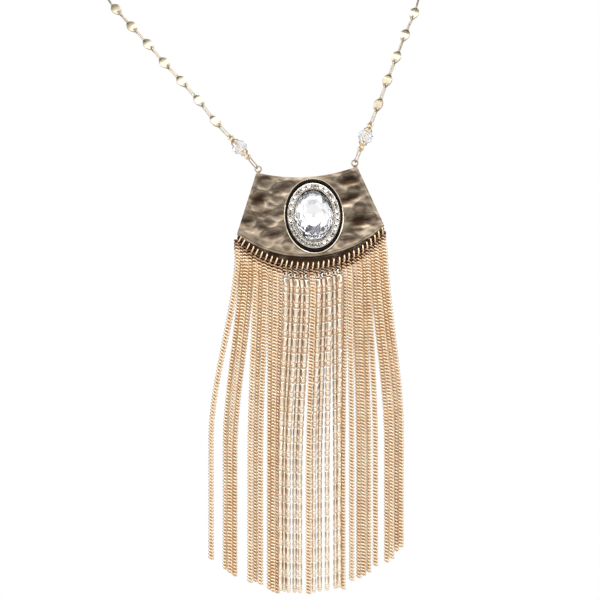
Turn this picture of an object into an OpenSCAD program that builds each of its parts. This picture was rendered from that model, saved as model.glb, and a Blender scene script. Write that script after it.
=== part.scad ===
// Tassel necklace: hammered plate with a crystal halo setting, a fringe of
// fine chains and a neck chain of domed plates and long links.
// Millimetres. The origin is where the chain rests on the nape, Z is up and
// the front of the necklace looks along -Y.

/* [Plate] */
// Width between the top corners
plate_top_w = 35.4; // [32:0.1:42]
// Width between the bottom corners
plate_bottom_w = 51.8; // [46:0.1:60]
// Height of the slanted sides
plate_side_h = 21.6; // [20:0.1:28]
// How far the top edge dips in the middle
plate_top_sag = 3.0; // [1:0.1:3.4]
// How far the bottom edge bulges in the middle
plate_bottom_sag = 10.0; // [9:0.1:14]
// Thickness of the sheet
plate_t = 1.3; // [1.1:0.05:2]
// Radius that the sheet is bent to
plate_bend_r = 140; // [90:1:300]
// Lean of the plate away from the viewer at its top, degrees
plate_lean = 10.5; // [0:0.5:20]
// Roll of the plate to its own right, degrees
plate_roll = 3.6; // [0:0.1:8]
// Wire of the soldered corner eyes
eye_wire = 0.5; // [0.4:0.05:0.7]
// Inner width of the soldered corner eyes
eye_hole = 1.6; // [1.4:0.05:2.4]

/* [Setting] */
// Width of the oval setting
setting_w = 21.0; // [19.8:0.1:23]
// Height of the oval setting
setting_h = 27.0; // [26.2:0.1:28]
// Sideways place of the setting on the plate
setting_x = 1.4; // [0:0.1:3]
// Drop of the setting's middle below the top corners
setting_drop = 17.2; // [16.8:0.1:18]
// Thickness of the gold rim
rim_t = 0.45; // [0.3:0.05:0.8]
// Height of the gold rim above its floor
rim_h = 1.5; // [1.2:0.1:2.4]
// Width of the black enamel band
enamel_w = 0.7; // [0.5:0.05:0.75]
// Width of the main stone
stone_w = 13.6; // [12.5:0.1:14]
// Height of the main stone
stone_h = 18.0; // [17:0.1:18.4]
// Height of the main stone's crown
crown_h = 1.9; // [1.2:0.1:3]
// Width of one halo stone
halo_d = 1.85; // [1.4:0.05:1.9]
// Number of halo stones
halo_n = 28; // [20:1:28]

/* [Fringe] */
// Number of strands and of their jump rings
strand_n = 31; // [31:2:31]
// Number of strands in the middle group
middle_n = 11; // [11:2:11]
// Drop of the longest strand below the top corners
fringe_drop = 149; // [110:1:170]
// How far the row of jump rings hangs below the plate's edge, at the middle
lip_drop = 1.8; // [1.2:0.1:2]
// Wire of the jump rings
ring_wire = 0.45; // [0.35:0.05:0.5]
// Inner width of the jump rings
ring_hole = 1.6; // [1.5:0.05:1.8]
// Width of a curb chain strand
curb_w = 1.7; // [1.2:0.1:1.8]
// Width of a bar in a dapped strand
bar_w = 1.3; // [0.8:0.05:1.4]
// Length of a bar in a dapped strand
bar_l = 2.7; // [2:0.1:3.2]
// Distance from bar to bar in a dapped strand
bar_pitch = 5.2; // [4.6:0.1:7]
// Thickness of every strand
strand_t = 0.8; // [0.6:0.05:0.9]

/* [Neck chain] */
// Length of a domed plate
dapped_l = 5.4; // [4.6:0.1:5.8]
// Width of a domed plate
dapped_w = 3.4; // [2.6:0.1:4.2]
// Thickness of a domed plate
dapped_t = 0.6; // [0.5:0.05:0.8]
// Width of a long link
link_w = 2.4; // [2.2:0.1:3]
// Wire of the links
link_wire = 0.45; // [0.35:0.05:0.5]
// Distance aimed at from one domed plate to the next
repeat_l = 10.0; // [9.2:0.1:11.5]
// Turn of the domed plates about the chain, degrees
chain_turn = 28; // [0:1:45]

/* [Connector] */
// Width of the crystal bead
bead_d = 5.3; // [4.4:0.1:6]
// Length of the crystal bead
bead_l = 4.8; // [4:0.1:6]
// Width of a bead cap at the bead
cap_d = 3.0; // [2.4:0.1:3.6]
// Length of a bead cap
cap_l = 1.3; // [0.9:0.1:2]
// Wire of the pin and its eyes
pin_wire = 0.6; // [0.5:0.05:0.8]
// Inner width of the connector's eyes
pin_eye = 1.1; // [1:0.05:1.4]
// Length of the long link at the plate's corner
corner_link_l = 5.6; // [5.2:0.1:7]

/* [Clasp] */
// Outer width of the spring ring
clasp_d = 7.0; // [6:0.1:9]
// Wire of the spring ring
clasp_wire = 1.3; // [1:0.05:1.6]
// Outer width of the end ring
end_ring_d = 4.4; // [4:0.1:6]
// Wire of the end ring
end_ring_wire = 0.7; // [0.6:0.05:0.9]

/* [Hidden] */

// Clearance between pieces that rest on each other, and around a pin or wire
gap = 0.06;
play = 0.12;

// Place of the middle between the plate's top corners
plate_place = [15.3, -114.5, -114.9];

// Places that the neck chain passes between the corner eyes, left to right:
// [x, y, z], hand chosen; the visible stretches first and last
chain_places = [
    [-9, -111.5, -106.5], [-17, -108.5, -98], [-22.5, -105.5, -91], [-29, -101.5, -83.5],
    [-35.5, -97.5, -76.5], [-41.5, -93, -69.5], [-47, -89, -63.5], [-56, -81, -53],
    [-63, -69.5, -41.5], [-66, -54, -30], [-64, -36, -19], [-53.5, -18, -9.5], [-31, -5, -3],
    [0, 0, 0],
    [27, -5, -2.5], [47, -18, -9], [57, -35, -17], [60, -53, -27], [58.5, -70, -39],
    [55, -87, -55], [51, -93.5, -65], [47.5, -99, -74], [44, -103.5, -83],
    [40.5, -107.5, -92.5], [36, -111.5, -103.5]
];
// Heading that the domed plates face, along the chain: [share, degrees]
chain_facing = [[0, 0], [0.2, -24], [0.32, -85], [0.5, -180], [0.68, -275], [0.8, -336], [1, -360]];

// Hammer dents of the plate: [share of half width, share of depth,
// radius as a share of the side height, depth as a share of the thickness]
dents = [
    [-0.58, 0.13, 0.75, 0.22], [-0.43, 0.31, 0.65, 0.20], [-0.68, 0.37, 0.70, 0.22],
    [-0.80, 0.60, 0.65, 0.22], [-0.53, 0.54, 0.75, 0.24], [-0.60, 0.78, 0.70, 0.22],
    [-0.33, 0.86, 0.60, 0.18], [0.55, 0.11, 0.70, 0.20], [0.62, 0.30, 0.65, 0.24],
    [0.68, 0.50, 0.75, 0.20], [0.84, 0.62, 0.60, 0.22], [0.60, 0.72, 0.70, 0.22],
    [0.40, 0.87, 0.55, 0.16], [-0.36, 0.08, 0.55, 0.14]
];

// Where each strand comes to hang: places across, from the plate's middle
strand_feet = [
    -34.5, -29.5, -27.8, -26.2, -20.8, -19, -17.2, -14, -12.7, -11.4,
    -9.9, -8.5, -7.1, -5.3, -3.2, -0.8, 1.2, 3.3, 6, 7.8, 9.6,
    11.2, 14.7, 17.2, 18.9, 20.6, 23, 27, 28.7, 30.4, 32
];
// Hem of the fringe: [place across, share of the longest strand's drop]
hem = [[-35, 0.916], [-29, 0.936], [-20.8, 0.974], [-13.5, 0.993], [-9, 1], [6, 0.999],
       [11, 0.982], [18.5, 0.958], [23, 0.936], [27.5, 0.925], [32, 0.895]];

metal_gold = "gold";

// Derived sizes of the plate
face_depth = plate_side_h + plate_bottom_sag;
top_r = (pow(plate_top_w / 2, 2) + pow(plate_top_sag, 2)) / (2 * plate_top_sag);
low_r = (pow(plate_bottom_w / 2, 2) + pow(plate_bottom_sag, 2)) / (2 * plate_bottom_sag);
low_centre_z = low_r - face_depth;
low_angle = asin(plate_bottom_w / 2 / low_r);

// Lower lip, its holes and the jump rings that pass through them
hole_d = ring_wire + 4 * play;
hole_rim = 0.4;
lip_t = 0.7;
lip_back = plate_t - lip_t;
ring_r = (ring_hole + ring_wire) / 2;
row_sag = plate_bottom_sag + lip_drop;
row_r = (pow(plate_bottom_w / 2, 2) + pow(row_sag, 2)) / (2 * row_sag);
row_centre_z = row_r - face_depth - lip_drop;
row_angle = asin(plate_bottom_w / 2 / row_r);
hole_r = row_r + 0.12 + hole_d / 2;
lip_r = hole_r + hole_d / 2 + hole_rim;
head_hole_r = hole_r + 2 * ring_r;
head_in_r = head_hole_r - hole_d / 2 - hole_rim;
head_out_r = head_hole_r + hole_d / 2 + hole_rim + 0.5;
ring_step = (2 * row_angle - 7) / (strand_n - 1);
sheet_middle = lip_back + lip_t / 2;

// Levels in the setting, measured out from its floor's back
seat_depth = bend_y(setting_w / 2 + setting_x);
floor_t = 0.35;
stone_gap = 2 * gap;
bezel_t = 0.35;
bezel_w = stone_w + 2 * (stone_gap + bezel_t);
bezel_h = stone_h + 2 * (stone_gap + bezel_t);
// The enamel band is wider above and below than at its sides
enamel_extra = 0.55;
enamel_out_w = setting_w - 2 * rim_t - 2 * gap;
enamel_out_h = setting_h - 2 * rim_t - 2 * gap;
seat_w = enamel_out_w - 2 * enamel_w - 2 * gap;
seat_h = enamel_out_h - 2 * (enamel_w + enamel_extra) - 2 * gap;
seat_top = rim_h + 0.15;
halo_w = (seat_w + bezel_w) / 2;
halo_h = (seat_h + bezel_h) / 2;
prong_d = 0.42;
girdle_level = seat_top + 0.75;
pavilion_h = girdle_level - floor_t - 0.25;

// Neck chain: hole places, pitch and stations along the route
chain_hole_d = link_wire + 5 * play;
lobe_r = chain_hole_d / 2 + 0.33;
hole_at = dapped_l / 2 - lobe_r;
eye_r = (eye_hole + eye_wire) / 2;
pin_eye_r = (pin_eye + pin_wire) / 2;
connector_half = bead_l / 2 + gap + cap_l + pin_eye_r;
corner_link_start = eye_hole / 2 - link_wire / 2 - play;
corner_span = corner_link_l - link_wire;
bead_station = corner_link_start + corner_span + connector_half;
chain_start = bead_station + connector_half + play;

clasp_r = (clasp_d - clasp_wire) / 2;
clasp_eye_wire = 0.6;
clasp_eye_r = (pin_eye + 0.2 + clasp_eye_wire) / 2;
clasp_reach = clasp_r + clasp_wire / 2 + clasp_eye_r;
end_ring_r = (end_ring_d - end_ring_wire) / 2;
clasp_link_r = (1.7 + link_wire) / 2;
clasp_bite = clasp_r - clasp_wire / 2 - end_ring_wire / 2 - play;
end_bite = end_ring_r - end_ring_wire / 2 - link_wire / 2 - play;
clasp_link_bite = clasp_link_r - link_wire - play;
clasp_span = play + clasp_reach + clasp_bite + end_ring_r + end_bite
           + clasp_link_r + clasp_link_bite;

// Vector helpers
function unit(v) = v / norm(v);
function spin_y(p, a) = [p[0] * cos(a) + p[2] * sin(a), p[1], -p[0] * sin(a) + p[2] * cos(a)];
function spin_x(p, a) = [p[0], p[1] * cos(a) - p[2] * sin(a), p[1] * sin(a) + p[2] * cos(a)];
// A place on the hanging plate, given in the plate's own frame
function hung(p) = plate_place + spin_x(spin_y(p, -plate_roll), -plate_lean);
// Depth of the bent sheet's front at a place across
function bend_y(x) = plate_bend_r - sqrt(pow(plate_bend_r, 2) - x * x);

// Smooth curve through a list of places, sampled evenly between them
function curve_at(p, i, t) = let(
    a = p[max(i - 1, 0)], b = p[i], c = p[i + 1], d = p[min(i + 2, len(p) - 1)])
    0.5 * (2 * b + (c - a) * t + (2 * a - 5 * b + 4 * c - d) * t * t
           + (3 * b - a - 3 * c + d) * t * t * t);
function curve(p, steps) = concat(
    [for (i = [0 : len(p) - 2]) for (k = [0 : steps - 1]) curve_at(p, i, k / steps)],
    [p[len(p) - 1]]);
function run_lengths(p) = [for (i = 0, s = 0; i < len(p);
    s = s + (i + 1 < len(p) ? norm(p[i + 1] - p[i]) : 0), i = i + 1) s];
function column(keys, p, k) = [for (i = [0 : len(p) - 1]) [keys[i], p[i][k]]];

// The whole route from the left corner eye round the neck to the right one
eye_x = plate_top_w / 2 - 0.7;
eye_z = eye_r + 0.2;
function eye_place(side) = hung([side * eye_x, bend_y(eye_x) + plate_t / 2, eye_z]);
route = curve(concat([eye_place(-1)], chain_places, [eye_place(1)]), 6);
route_s = run_lengths(route);
route_l = route_s[len(route_s) - 1];
route_x = column(route_s, route, 0);
route_y = column(route_s, route, 1);
route_z = column(route_s, route, 2);
function route_at(s) = [lookup(s, route_x), lookup(s, route_y), lookup(s, route_z)];

// Repeats on each side; the long links take up what the route leaves
side_run = (route_l - clasp_span) / 2 - chain_start;
link_reach = repeat_l / 2 - hole_at - play / 2;
repeats = round((side_run - 2 * link_reach) / repeat_l);
link_span = (side_run - repeats * 2 * (hole_at + play / 2)) / (repeats + 1);
chain_step = link_span + 2 * hole_at + play;

// Oval with its long axis upright
function oval(w, h, n = 64) = [for (i = [0 : n - 1]) [w / 2 * cos(i * 360 / n), h / 2 * sin(i * 360 / n)]];
// Angles that space n places evenly round an oval
function even_angles(w, h, n) = let(
    fine = [for (i = [0 : 180]) [w / 2 * cos(i * 2), h / 2 * sin(i * 2)]],
    s = run_lengths(fine),
    back = [for (i = [0 : 180]) [s[i], i * 2]])
    [for (k = [0 : n - 1]) lookup(s[180] * (k + 0.5) / n, back)];

// Closed skin over rings that all have the same number of places
module skin(rings) {
    n = len(rings[0]);
    m = len(rings);
    places = [for (r = rings) for (p = r) p];
    sides = [for (j = [0 : m - 2]) for (i = [0 : n - 1]) for (half = [0, 1])
        let(a = j * n + i, b = j * n + (i + 1) % n)
        half == 0 ? [a, b, b + n] : [a, b + n, a + n]];
    polyhedron(concat(places), concat([[for (i = [n - 1 : -1 : 0]) i]], sides,
        [[for (i = [0 : n - 1]) (m - 1) * n + i]]));
}

// Frames in which the pieces are drawn
module hang() translate(plate_place) rotate([-plate_lean, 0, 0]) rotate([0, -plate_roll, 0]) children();
module on_face(level = 0) hang()
    translate([setting_x, seat_depth, -setting_drop]) rotate([90, 0, 0]) translate([0, 0, level]) children();

// A piece that spans the route between two places on it: Z runs along the
// chain, -Y faces out, and the origin is midway
module spanning(from, to, turn = 0) {
    start = route_at(from);
    end = route_at(to);
    at = (start + end) / 2;
    ahead = unit(end - start);
    heading = lookup((from + to) / 2 / route_l, chain_facing);
    facing = [sin(heading), -cos(heading), 0];
    out = unit(facing - (facing * ahead) * ahead);
    side = cross(ahead, out);
    multmatrix([
        [side[0], -out[0], ahead[0], at[0]],
        [side[1], -out[1], ahead[1], at[1]],
        [side[2], -out[2], ahead[2], at[2]],
        [0, 0, 0, 1]]) rotate([0, 0, turn]) children();
}
// The same for a piece of a given reach about its own middle, from either end
module station(s, reach, turn, side = -1) {
    at = side < 0 ? s : route_l - s;
    spanning(at - reach, at + reach, turn) children();
}

// Round ring in the XZ plane, and a long link along Z in the XZ plane
module ring(r, wire) rotate([90, 0, 0]) rotate_extrude($fn = 48) translate([r, 0]) circle(d = wire, $fn = 20);
module long_link(span, width, wire) {
    bend = (width - wire) / 2;
    straight = span - 2 * bend;
    for (end = [0, 1]) mirror([0, 0, end]) translate([0, 0, straight / 2]) rotate([90, 0, 0])
        rotate_extrude(angle = 180, $fn = 36) translate([bend, 0]) circle(d = wire, $fn = 20);
    for (side = [-1, 1]) translate([side * bend, 0, -straight / 2]) cylinder(d = wire, h = straight, $fn = 20);
}

// Bent sheet between two depths behind its front, cut to a flat outline
module bent_sheet(front, back) intersection() {
    translate([0, plate_bend_r, -2 * face_depth]) difference() {
        cylinder(r = plate_bend_r - front, h = 3 * face_depth, $fn = 360);
        translate([0, 0, -1]) cylinder(r = plate_bend_r - back, h = 3 * face_depth + 2, $fn = 360);
    }
    rotate([90, 0, 0]) linear_extrude(20, center = true) children();
}
// Place on an arc about the lower edge's centre, by its angle from straight down
function low_place(r, a) = [r * sin(a), low_centre_z - r * cos(a)];
// Place on an arc of the row of rings, which meets the plate's edge at the corners and hangs lower between
function row_place(r, a) = [r * sin(a), row_centre_z - r * cos(a)];
module arc_band(inner, outer, from, to, n) polygon(concat(
    [for (i = [0 : n]) row_place(outer, from + (to - from) * i / n)],
    [for (i = [n : -1 : 0]) row_place(inner, from + (to - from) * i / n)]));
function ring_angle(i) = (i - (strand_n - 1) / 2) * ring_step;

module plate_outline() {
    n = 20;
    top_half = asin(plate_top_w / 2 / top_r);
    polygon(concat(
        [for (i = [0 : n]) let(a = -top_half + 2 * top_half * i / n)
            [top_r * sin(a), -plate_top_sag + top_r * (1 - cos(a))]],
        [for (i = [n : -1 : -n]) low_place(low_r, low_angle * i / n)]));
}

module plate() color("#8c785f") hang() {
    difference() {
        bent_sheet(0, plate_t) plate_outline();
        for (d = dents) {
            x = d[0] * plate_bottom_w / 2;
            r = d[2] * plate_side_h;
            translate([x, bend_y(x) - r + d[3] * plate_t, -d[1] * face_depth]) sphere(r = r, $fn = 120);
        }
        translate([setting_x, seat_depth, -setting_drop]) rotate([90, 0, 0])
            linear_extrude(5) polygon(oval(setting_w + 2 * gap, setting_h + 2 * gap));
    }
    difference() {
        bent_sheet(lip_back, plate_t)
            arc_band(row_r - lip_drop - 0.3, lip_r, -row_angle + 0.2, row_angle - 0.2, 40);
        for (i = [0 : strand_n - 1]) {
            p = row_place(hole_r, ring_angle(i));
            translate([p[0], 0, p[1]]) rotate([90, 0, 0]) cylinder(d = hole_d, h = 20, center = true, $fn = 24);
        }
    }
    for (side = [-1, 1]) translate([side * eye_x, bend_y(eye_x) + plate_t / 2, eye_z]) {
        ring(eye_r, eye_wire);
        translate([0, 0, -eye_r]) sphere(d = plate_t * 0.9, $fn = 24);
    }
}

module setting() color(metal_gold) on_face(gap) {
    difference() {
        linear_extrude(rim_h) polygon(oval(setting_w, setting_h));
        translate([0, 0, floor_t]) linear_extrude(rim_h)
            polygon(oval(setting_w - 2 * rim_t, setting_h - 2 * rim_t));
    }
    difference() {
        union() {
            linear_extrude(seat_top) polygon(oval(seat_w, seat_h));
            linear_extrude(girdle_level + 0.1) polygon(oval(bezel_w, bezel_h));
        }
        translate([0, 0, floor_t]) linear_extrude(girdle_level + 1)
            polygon(oval(stone_w + 2 * stone_gap, stone_h + 2 * stone_gap));
    }
    angles = even_angles(halo_w, halo_h, halo_n);
    for (i = [0 : halo_n - 1]) {
        next = angles[(i + 1) % halo_n] + (i == halo_n - 1 ? 360 : 0);
        a = (angles[i] + next) / 2;
        reach = (seat_w - halo_w) / 2 - prong_d / 2 - 0.05;
        for (side = [-1, 1])
            translate([(halo_w / 2 + side * reach) * cos(a), (halo_h / 2 + side * reach) * sin(a), seat_top / 2])
                cylinder(d = prong_d, h = seat_top / 2 + 0.75, $fn = 16);
    }
}

module enamel() color("#15120f") on_face(2 * gap) translate([0, 0, floor_t]) difference() {
    linear_extrude(rim_h - floor_t - 0.15) polygon(oval(enamel_out_w, enamel_out_h));
    translate([0, 0, -1]) linear_extrude(rim_h + 2)
        polygon(oval(seat_w + 2 * gap, seat_h + 2 * gap));
}

// Rings of an oval cut: [level, share of the size, half step of turn]
function cut_ring(w, h, level, share, half, n) = [for (i = [0 : n - 1])
    let(a = (i + half / 2) * 360 / n) [share * w / 2 * cos(a), share * h / 2 * sin(a), level]];

module main_stone() color("#e8edf0") on_face(gap + girdle_level) {
    n = 16;
    skin([
        cut_ring(stone_w, stone_h, -pavilion_h, 0.12, 0, n),
        cut_ring(stone_w, stone_h, -pavilion_h * 0.5, 0.62, 1, n),
        cut_ring(stone_w, stone_h, -0.2, 1, 2, n),
        cut_ring(stone_w, stone_h, 0, 1, 2, n),
        cut_ring(stone_w, stone_h, crown_h * 0.55, 0.84, 3, n),
        cut_ring(stone_w, stone_h, crown_h, 0.6, 4, n)]);
}

module halo_stones() color("#f4f6f8") on_face(2 * gap + seat_top) {
    for (a = even_angles(halo_w, halo_h, halo_n))
        translate([halo_w / 2 * cos(a), halo_h / 2 * sin(a), 0]) rotate([0, 0, a]) {
            cylinder(d1 = halo_d * 0.7, d2 = halo_d, h = 0.3, $fn = 8);
            translate([0, 0, 0.3]) cylinder(d1 = halo_d, d2 = halo_d * 0.55, h = 0.4, $fn = 8);
        }
}

module fringe_rings() color("#d8b078") hang() for (i = [0 : strand_n - 1]) {
    a = ring_angle(i);
    p = row_place(hole_r + ring_r, a);
    translate([p[0], bend_y(p[0]) + sheet_middle, p[1]]) rotate([0, -a, 0]) rotate([0, 0, 90])
        ring(ring_r, ring_wire);
}

// One strand: from the head straight down, easing out to its foot
function ease(t) = t >= 1 ? 1 : t * t * (3 - 2 * t);
function strand_top(i) = let(p = row_place(head_hole_r + hole_d / 2 + hole_rim, ring_angle(i)))
    hung([p[0], bend_y(p[0]) + sheet_middle, p[1]]);
function strand_end_z(i) = plate_place[2] - fringe_drop * lookup(strand_feet[i], hem);
function strand_at(i, drop) = let(top = strand_top(i), full = top[2] - strand_end_z(i),
    foot = plate_place[0] + 1 + strand_feet[i], t = drop / full)
    [top[0] + (foot - top[0]) * ease(t / 0.62),
     top[1] + (i % 2 == 0 ? -0.55 : 0.55) * ease(t / 0.05), top[2] - drop];
function strand_ring(i, drop, w, t) = let(c = strand_at(i, drop))
    [for (k = [0 : 5]) let(a = -k * 60) c + [w / 2 * cos(a), t / 2 / sin(60) * sin(a), 0]];
function full_drop(i) = strand_top(i)[2] - strand_end_z(i);

module curb_strand(i) {
    n = 11;
    skin([for (k = [n : -1 : 0]) strand_ring(i, full_drop(i) * k / n, curb_w, strand_t)]);
}
module bar_strand(i) {
    bars = floor((full_drop(i) - bar_l - 2) / bar_pitch);
    first = 4 - lip_drop;
    rings = [for (k = [0 : bars]) for (row = [[0, bar_w], [bar_l, bar_w], [(bar_l + bar_pitch) / 2, 0.6]])
        [first + k * bar_pitch + row[0], row[1]]];
    drops = concat([[0, 0.9]], rings);
    skin([for (k = [len(drops) - 1 : -1 : 0])
        strand_ring(i, drops[k][0], drops[k][1], drops[k][1] > 1 ? strand_t : 0.6)]);
}
module fringe(from, to) {
    difference() {
        hang() bent_sheet(lip_back, plate_t)
            arc_band(head_in_r, head_out_r, ring_angle(from) - ring_step * 0.42,
                     ring_angle(to) + ring_step * 0.42, 12);
        hang() for (i = [from : to]) {
            p = row_place(head_hole_r, ring_angle(i));
            translate([p[0], 0, p[1]]) rotate([90, 0, 0]) cylinder(d = hole_d, h = 20, center = true, $fn = 24);
        }
    }
    middle = (strand_n - 1) / 2;
    for (i = [from : to])
        if (abs(i - middle) > (middle_n - 1) / 2 || i == middle) curb_strand(i);
        else bar_strand(i);
}
first_middle = (strand_n - middle_n) / 2;
module fringe_left() color("#deb891") fringe(0, first_middle - 1);
module fringe_middle() color("#f2e2c4") fringe(first_middle, first_middle + middle_n - 1);
module fringe_right() color("#deb891") fringe(first_middle + middle_n, strand_n - 1);

module connector() {
    for (end = [0, 1]) mirror([0, 0, end]) {
        translate([0, 0, bead_l / 2 + gap]) rotate_extrude($fn = 32)
            polygon([[0, 0], [cap_d / 2, 0], [cap_d / 2, 0.25], [pin_wire * 0.9, cap_l], [0, cap_l]]);
        translate([0, 0, connector_half]) ring(pin_eye_r, pin_wire);
    }
    translate([0, 0, -bead_l / 2 - gap - 0.1]) cylinder(d = pin_wire, h = bead_l + 2 * gap + 0.2, $fn = 24);
}
module connector_bead() difference() {
    n = 10;
    skin([for (row = [[-bead_l / 2, 0.5, 0], [-bead_l * 0.17, 1, 1], [bead_l * 0.17, 1, 2], [bead_l / 2, 0.5, 3]])
        cut_ring(bead_d, bead_d, row[0], row[1], row[2], n)]);
    cylinder(d = pin_wire + 2 * play, h = bead_l + 2, center = true, $fn = 24);
}
module at_connector(side) station(bead_station, connector_half, chain_turn, side) children();
module connector_left() color(metal_gold) at_connector(-1) connector();
module connector_right() color(metal_gold) at_connector(1) connector();
module connector_bead_left() color("#eef2f4") at_connector(-1) connector_bead();
module connector_bead_right() color("#eef2f4") at_connector(1) connector_bead();

module corner_link(side) station(corner_link_start + corner_span / 2, corner_span / 2, chain_turn + 90, side)
    long_link(corner_span, link_w, link_wire);
module corner_link_left() color(metal_gold) corner_link(-1);
module corner_link_right() color(metal_gold) corner_link(1);

// Domed plate: a pointed oval with a lobe and a hole at each end
module domed_plate() {
    arc_r = (pow(dapped_l / 2, 2) + pow(dapped_w / 2, 2)) / dapped_w;
    dome_r = dapped_l * 1.1;
    // The plate stands forward so that its bent ends are centred in the links
    translate([0, -(dome_r - sqrt(pow(dome_r, 2) - pow(hole_at, 2))) / 2, 0]) difference() {
        intersection() {
            rotate([90, 0, 0]) linear_extrude(4 * dapped_t, center = true) difference() {
                union() {
                    intersection() {
                        translate([arc_r - dapped_w / 2, 0]) circle(r = arc_r, $fn = 96);
                        translate([dapped_w / 2 - arc_r, 0]) circle(r = arc_r, $fn = 96);
                    }
                    for (end = [-1, 1]) translate([0, end * hole_at]) circle(r = lobe_r, $fn = 32);
                }
                for (end = [-1, 1]) translate([0, end * hole_at]) circle(d = chain_hole_d, $fn = 24);
            }
            dome(dome_r, dapped_l, -dapped_t);
        }
        dome(dome_r, dapped_l, 0);
    }
}
// Round bar across a domed plate, whose front touches the given depth
module dome(r, across, front) translate([0, r + front, 0]) rotate([0, 90, 0])
    cylinder(r = r, h = 2 * across, center = true, $fn = 120);
module neck_chain(side) for (k = [0 : repeats]) {
    link_s = chain_start + link_span / 2 + k * chain_step;
    station(link_s, link_span / 2, chain_turn + 90, side) long_link(link_span, link_w, link_wire);
    plate_s = link_s + link_span / 2 + play / 2 + hole_at;
    if (k < repeats) station(plate_s, hole_at, chain_turn, side) domed_plate();
}
module chain_left() color("#d9bd8a") neck_chain(-1);
module chain_right() color("#d9bd8a") neck_chain(1);

// Clasp pieces follow one another from the left chain's last link
clasp_eye_s = (route_l - clasp_span) / 2 + play;
clasp_s = clasp_eye_s + clasp_reach;
end_ring_s = clasp_s + clasp_bite + end_ring_r;
clasp_link_s = end_ring_s + end_bite + clasp_link_r;
module clasp() color(metal_gold) station(clasp_s, clasp_reach, chain_turn) {
    ring(clasp_r, clasp_wire);
    translate([0, 0, -clasp_reach]) ring(clasp_eye_r, clasp_eye_wire);
    translate([clasp_r, 0, 0]) rotate([0, 90, 0]) cylinder(d = 0.8, h = clasp_wire * 1.1, $fn = 20);
}
module clasp_ring() color(metal_gold)
    station(end_ring_s, end_ring_r, chain_turn + 90) ring(end_ring_r, end_ring_wire);
module clasp_link() color(metal_gold)
    station(clasp_link_s, clasp_link_r, chain_turn) ring(clasp_link_r, link_wire);

plate();
setting();
enamel();
main_stone();
halo_stones();
fringe_rings();
fringe_left();
fringe_middle();
fringe_right();
connector_left();
connector_right();
connector_bead_left();
connector_bead_right();
corner_link_left();
corner_link_right();
chain_left();
chain_right();
clasp();
clasp_ring();
clasp_link();
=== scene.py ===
"""Tassel necklace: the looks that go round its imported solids.

The hammered plate, its oval setting and the fringe of fine chains are modelled
piece by piece in millimetres, in the same frame as the solids, and brought to
metres when they are set in place. The stones, the beads with their pins, the
neck chain and the clasp keep the meshes of their solids and get their finishes.
"""

from __future__ import annotations

import logging
import math
from dataclasses import dataclass, field
from enum import Enum
from typing import Callable, Sequence

import bpy
import numpy as np
from mathutils import Matrix, Vector


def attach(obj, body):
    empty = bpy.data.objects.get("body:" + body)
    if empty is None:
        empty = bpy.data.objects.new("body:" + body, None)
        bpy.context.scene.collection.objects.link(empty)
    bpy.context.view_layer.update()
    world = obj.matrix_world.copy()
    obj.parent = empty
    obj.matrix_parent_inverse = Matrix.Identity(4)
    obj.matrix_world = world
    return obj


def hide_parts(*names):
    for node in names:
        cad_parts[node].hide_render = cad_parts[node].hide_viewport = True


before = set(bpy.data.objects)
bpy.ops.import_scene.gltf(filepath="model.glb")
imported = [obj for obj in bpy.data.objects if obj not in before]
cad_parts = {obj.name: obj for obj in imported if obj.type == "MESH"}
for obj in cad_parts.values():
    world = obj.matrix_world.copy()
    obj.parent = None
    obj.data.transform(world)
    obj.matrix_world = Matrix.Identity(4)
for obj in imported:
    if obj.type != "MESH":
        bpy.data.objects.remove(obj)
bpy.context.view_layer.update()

MM = 0.001
Pair = tuple[float, float]
Triple = tuple[float, float, float]
Colour = Triple
Piece = bpy.types.Object
Finish = bpy.types.Material
Socket = bpy.types.NodeSocket
log = logging.getLogger("necklace")


class Side(Enum):
    """Side of the necklace as it is seen from the front, with its sign along x."""

    LEFT = -1
    RIGHT = 1


class StrandKind(Enum):
    """How a strand of the fringe is made."""

    CURB = "curb"
    BARS = "bars"


# Finishes


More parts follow.
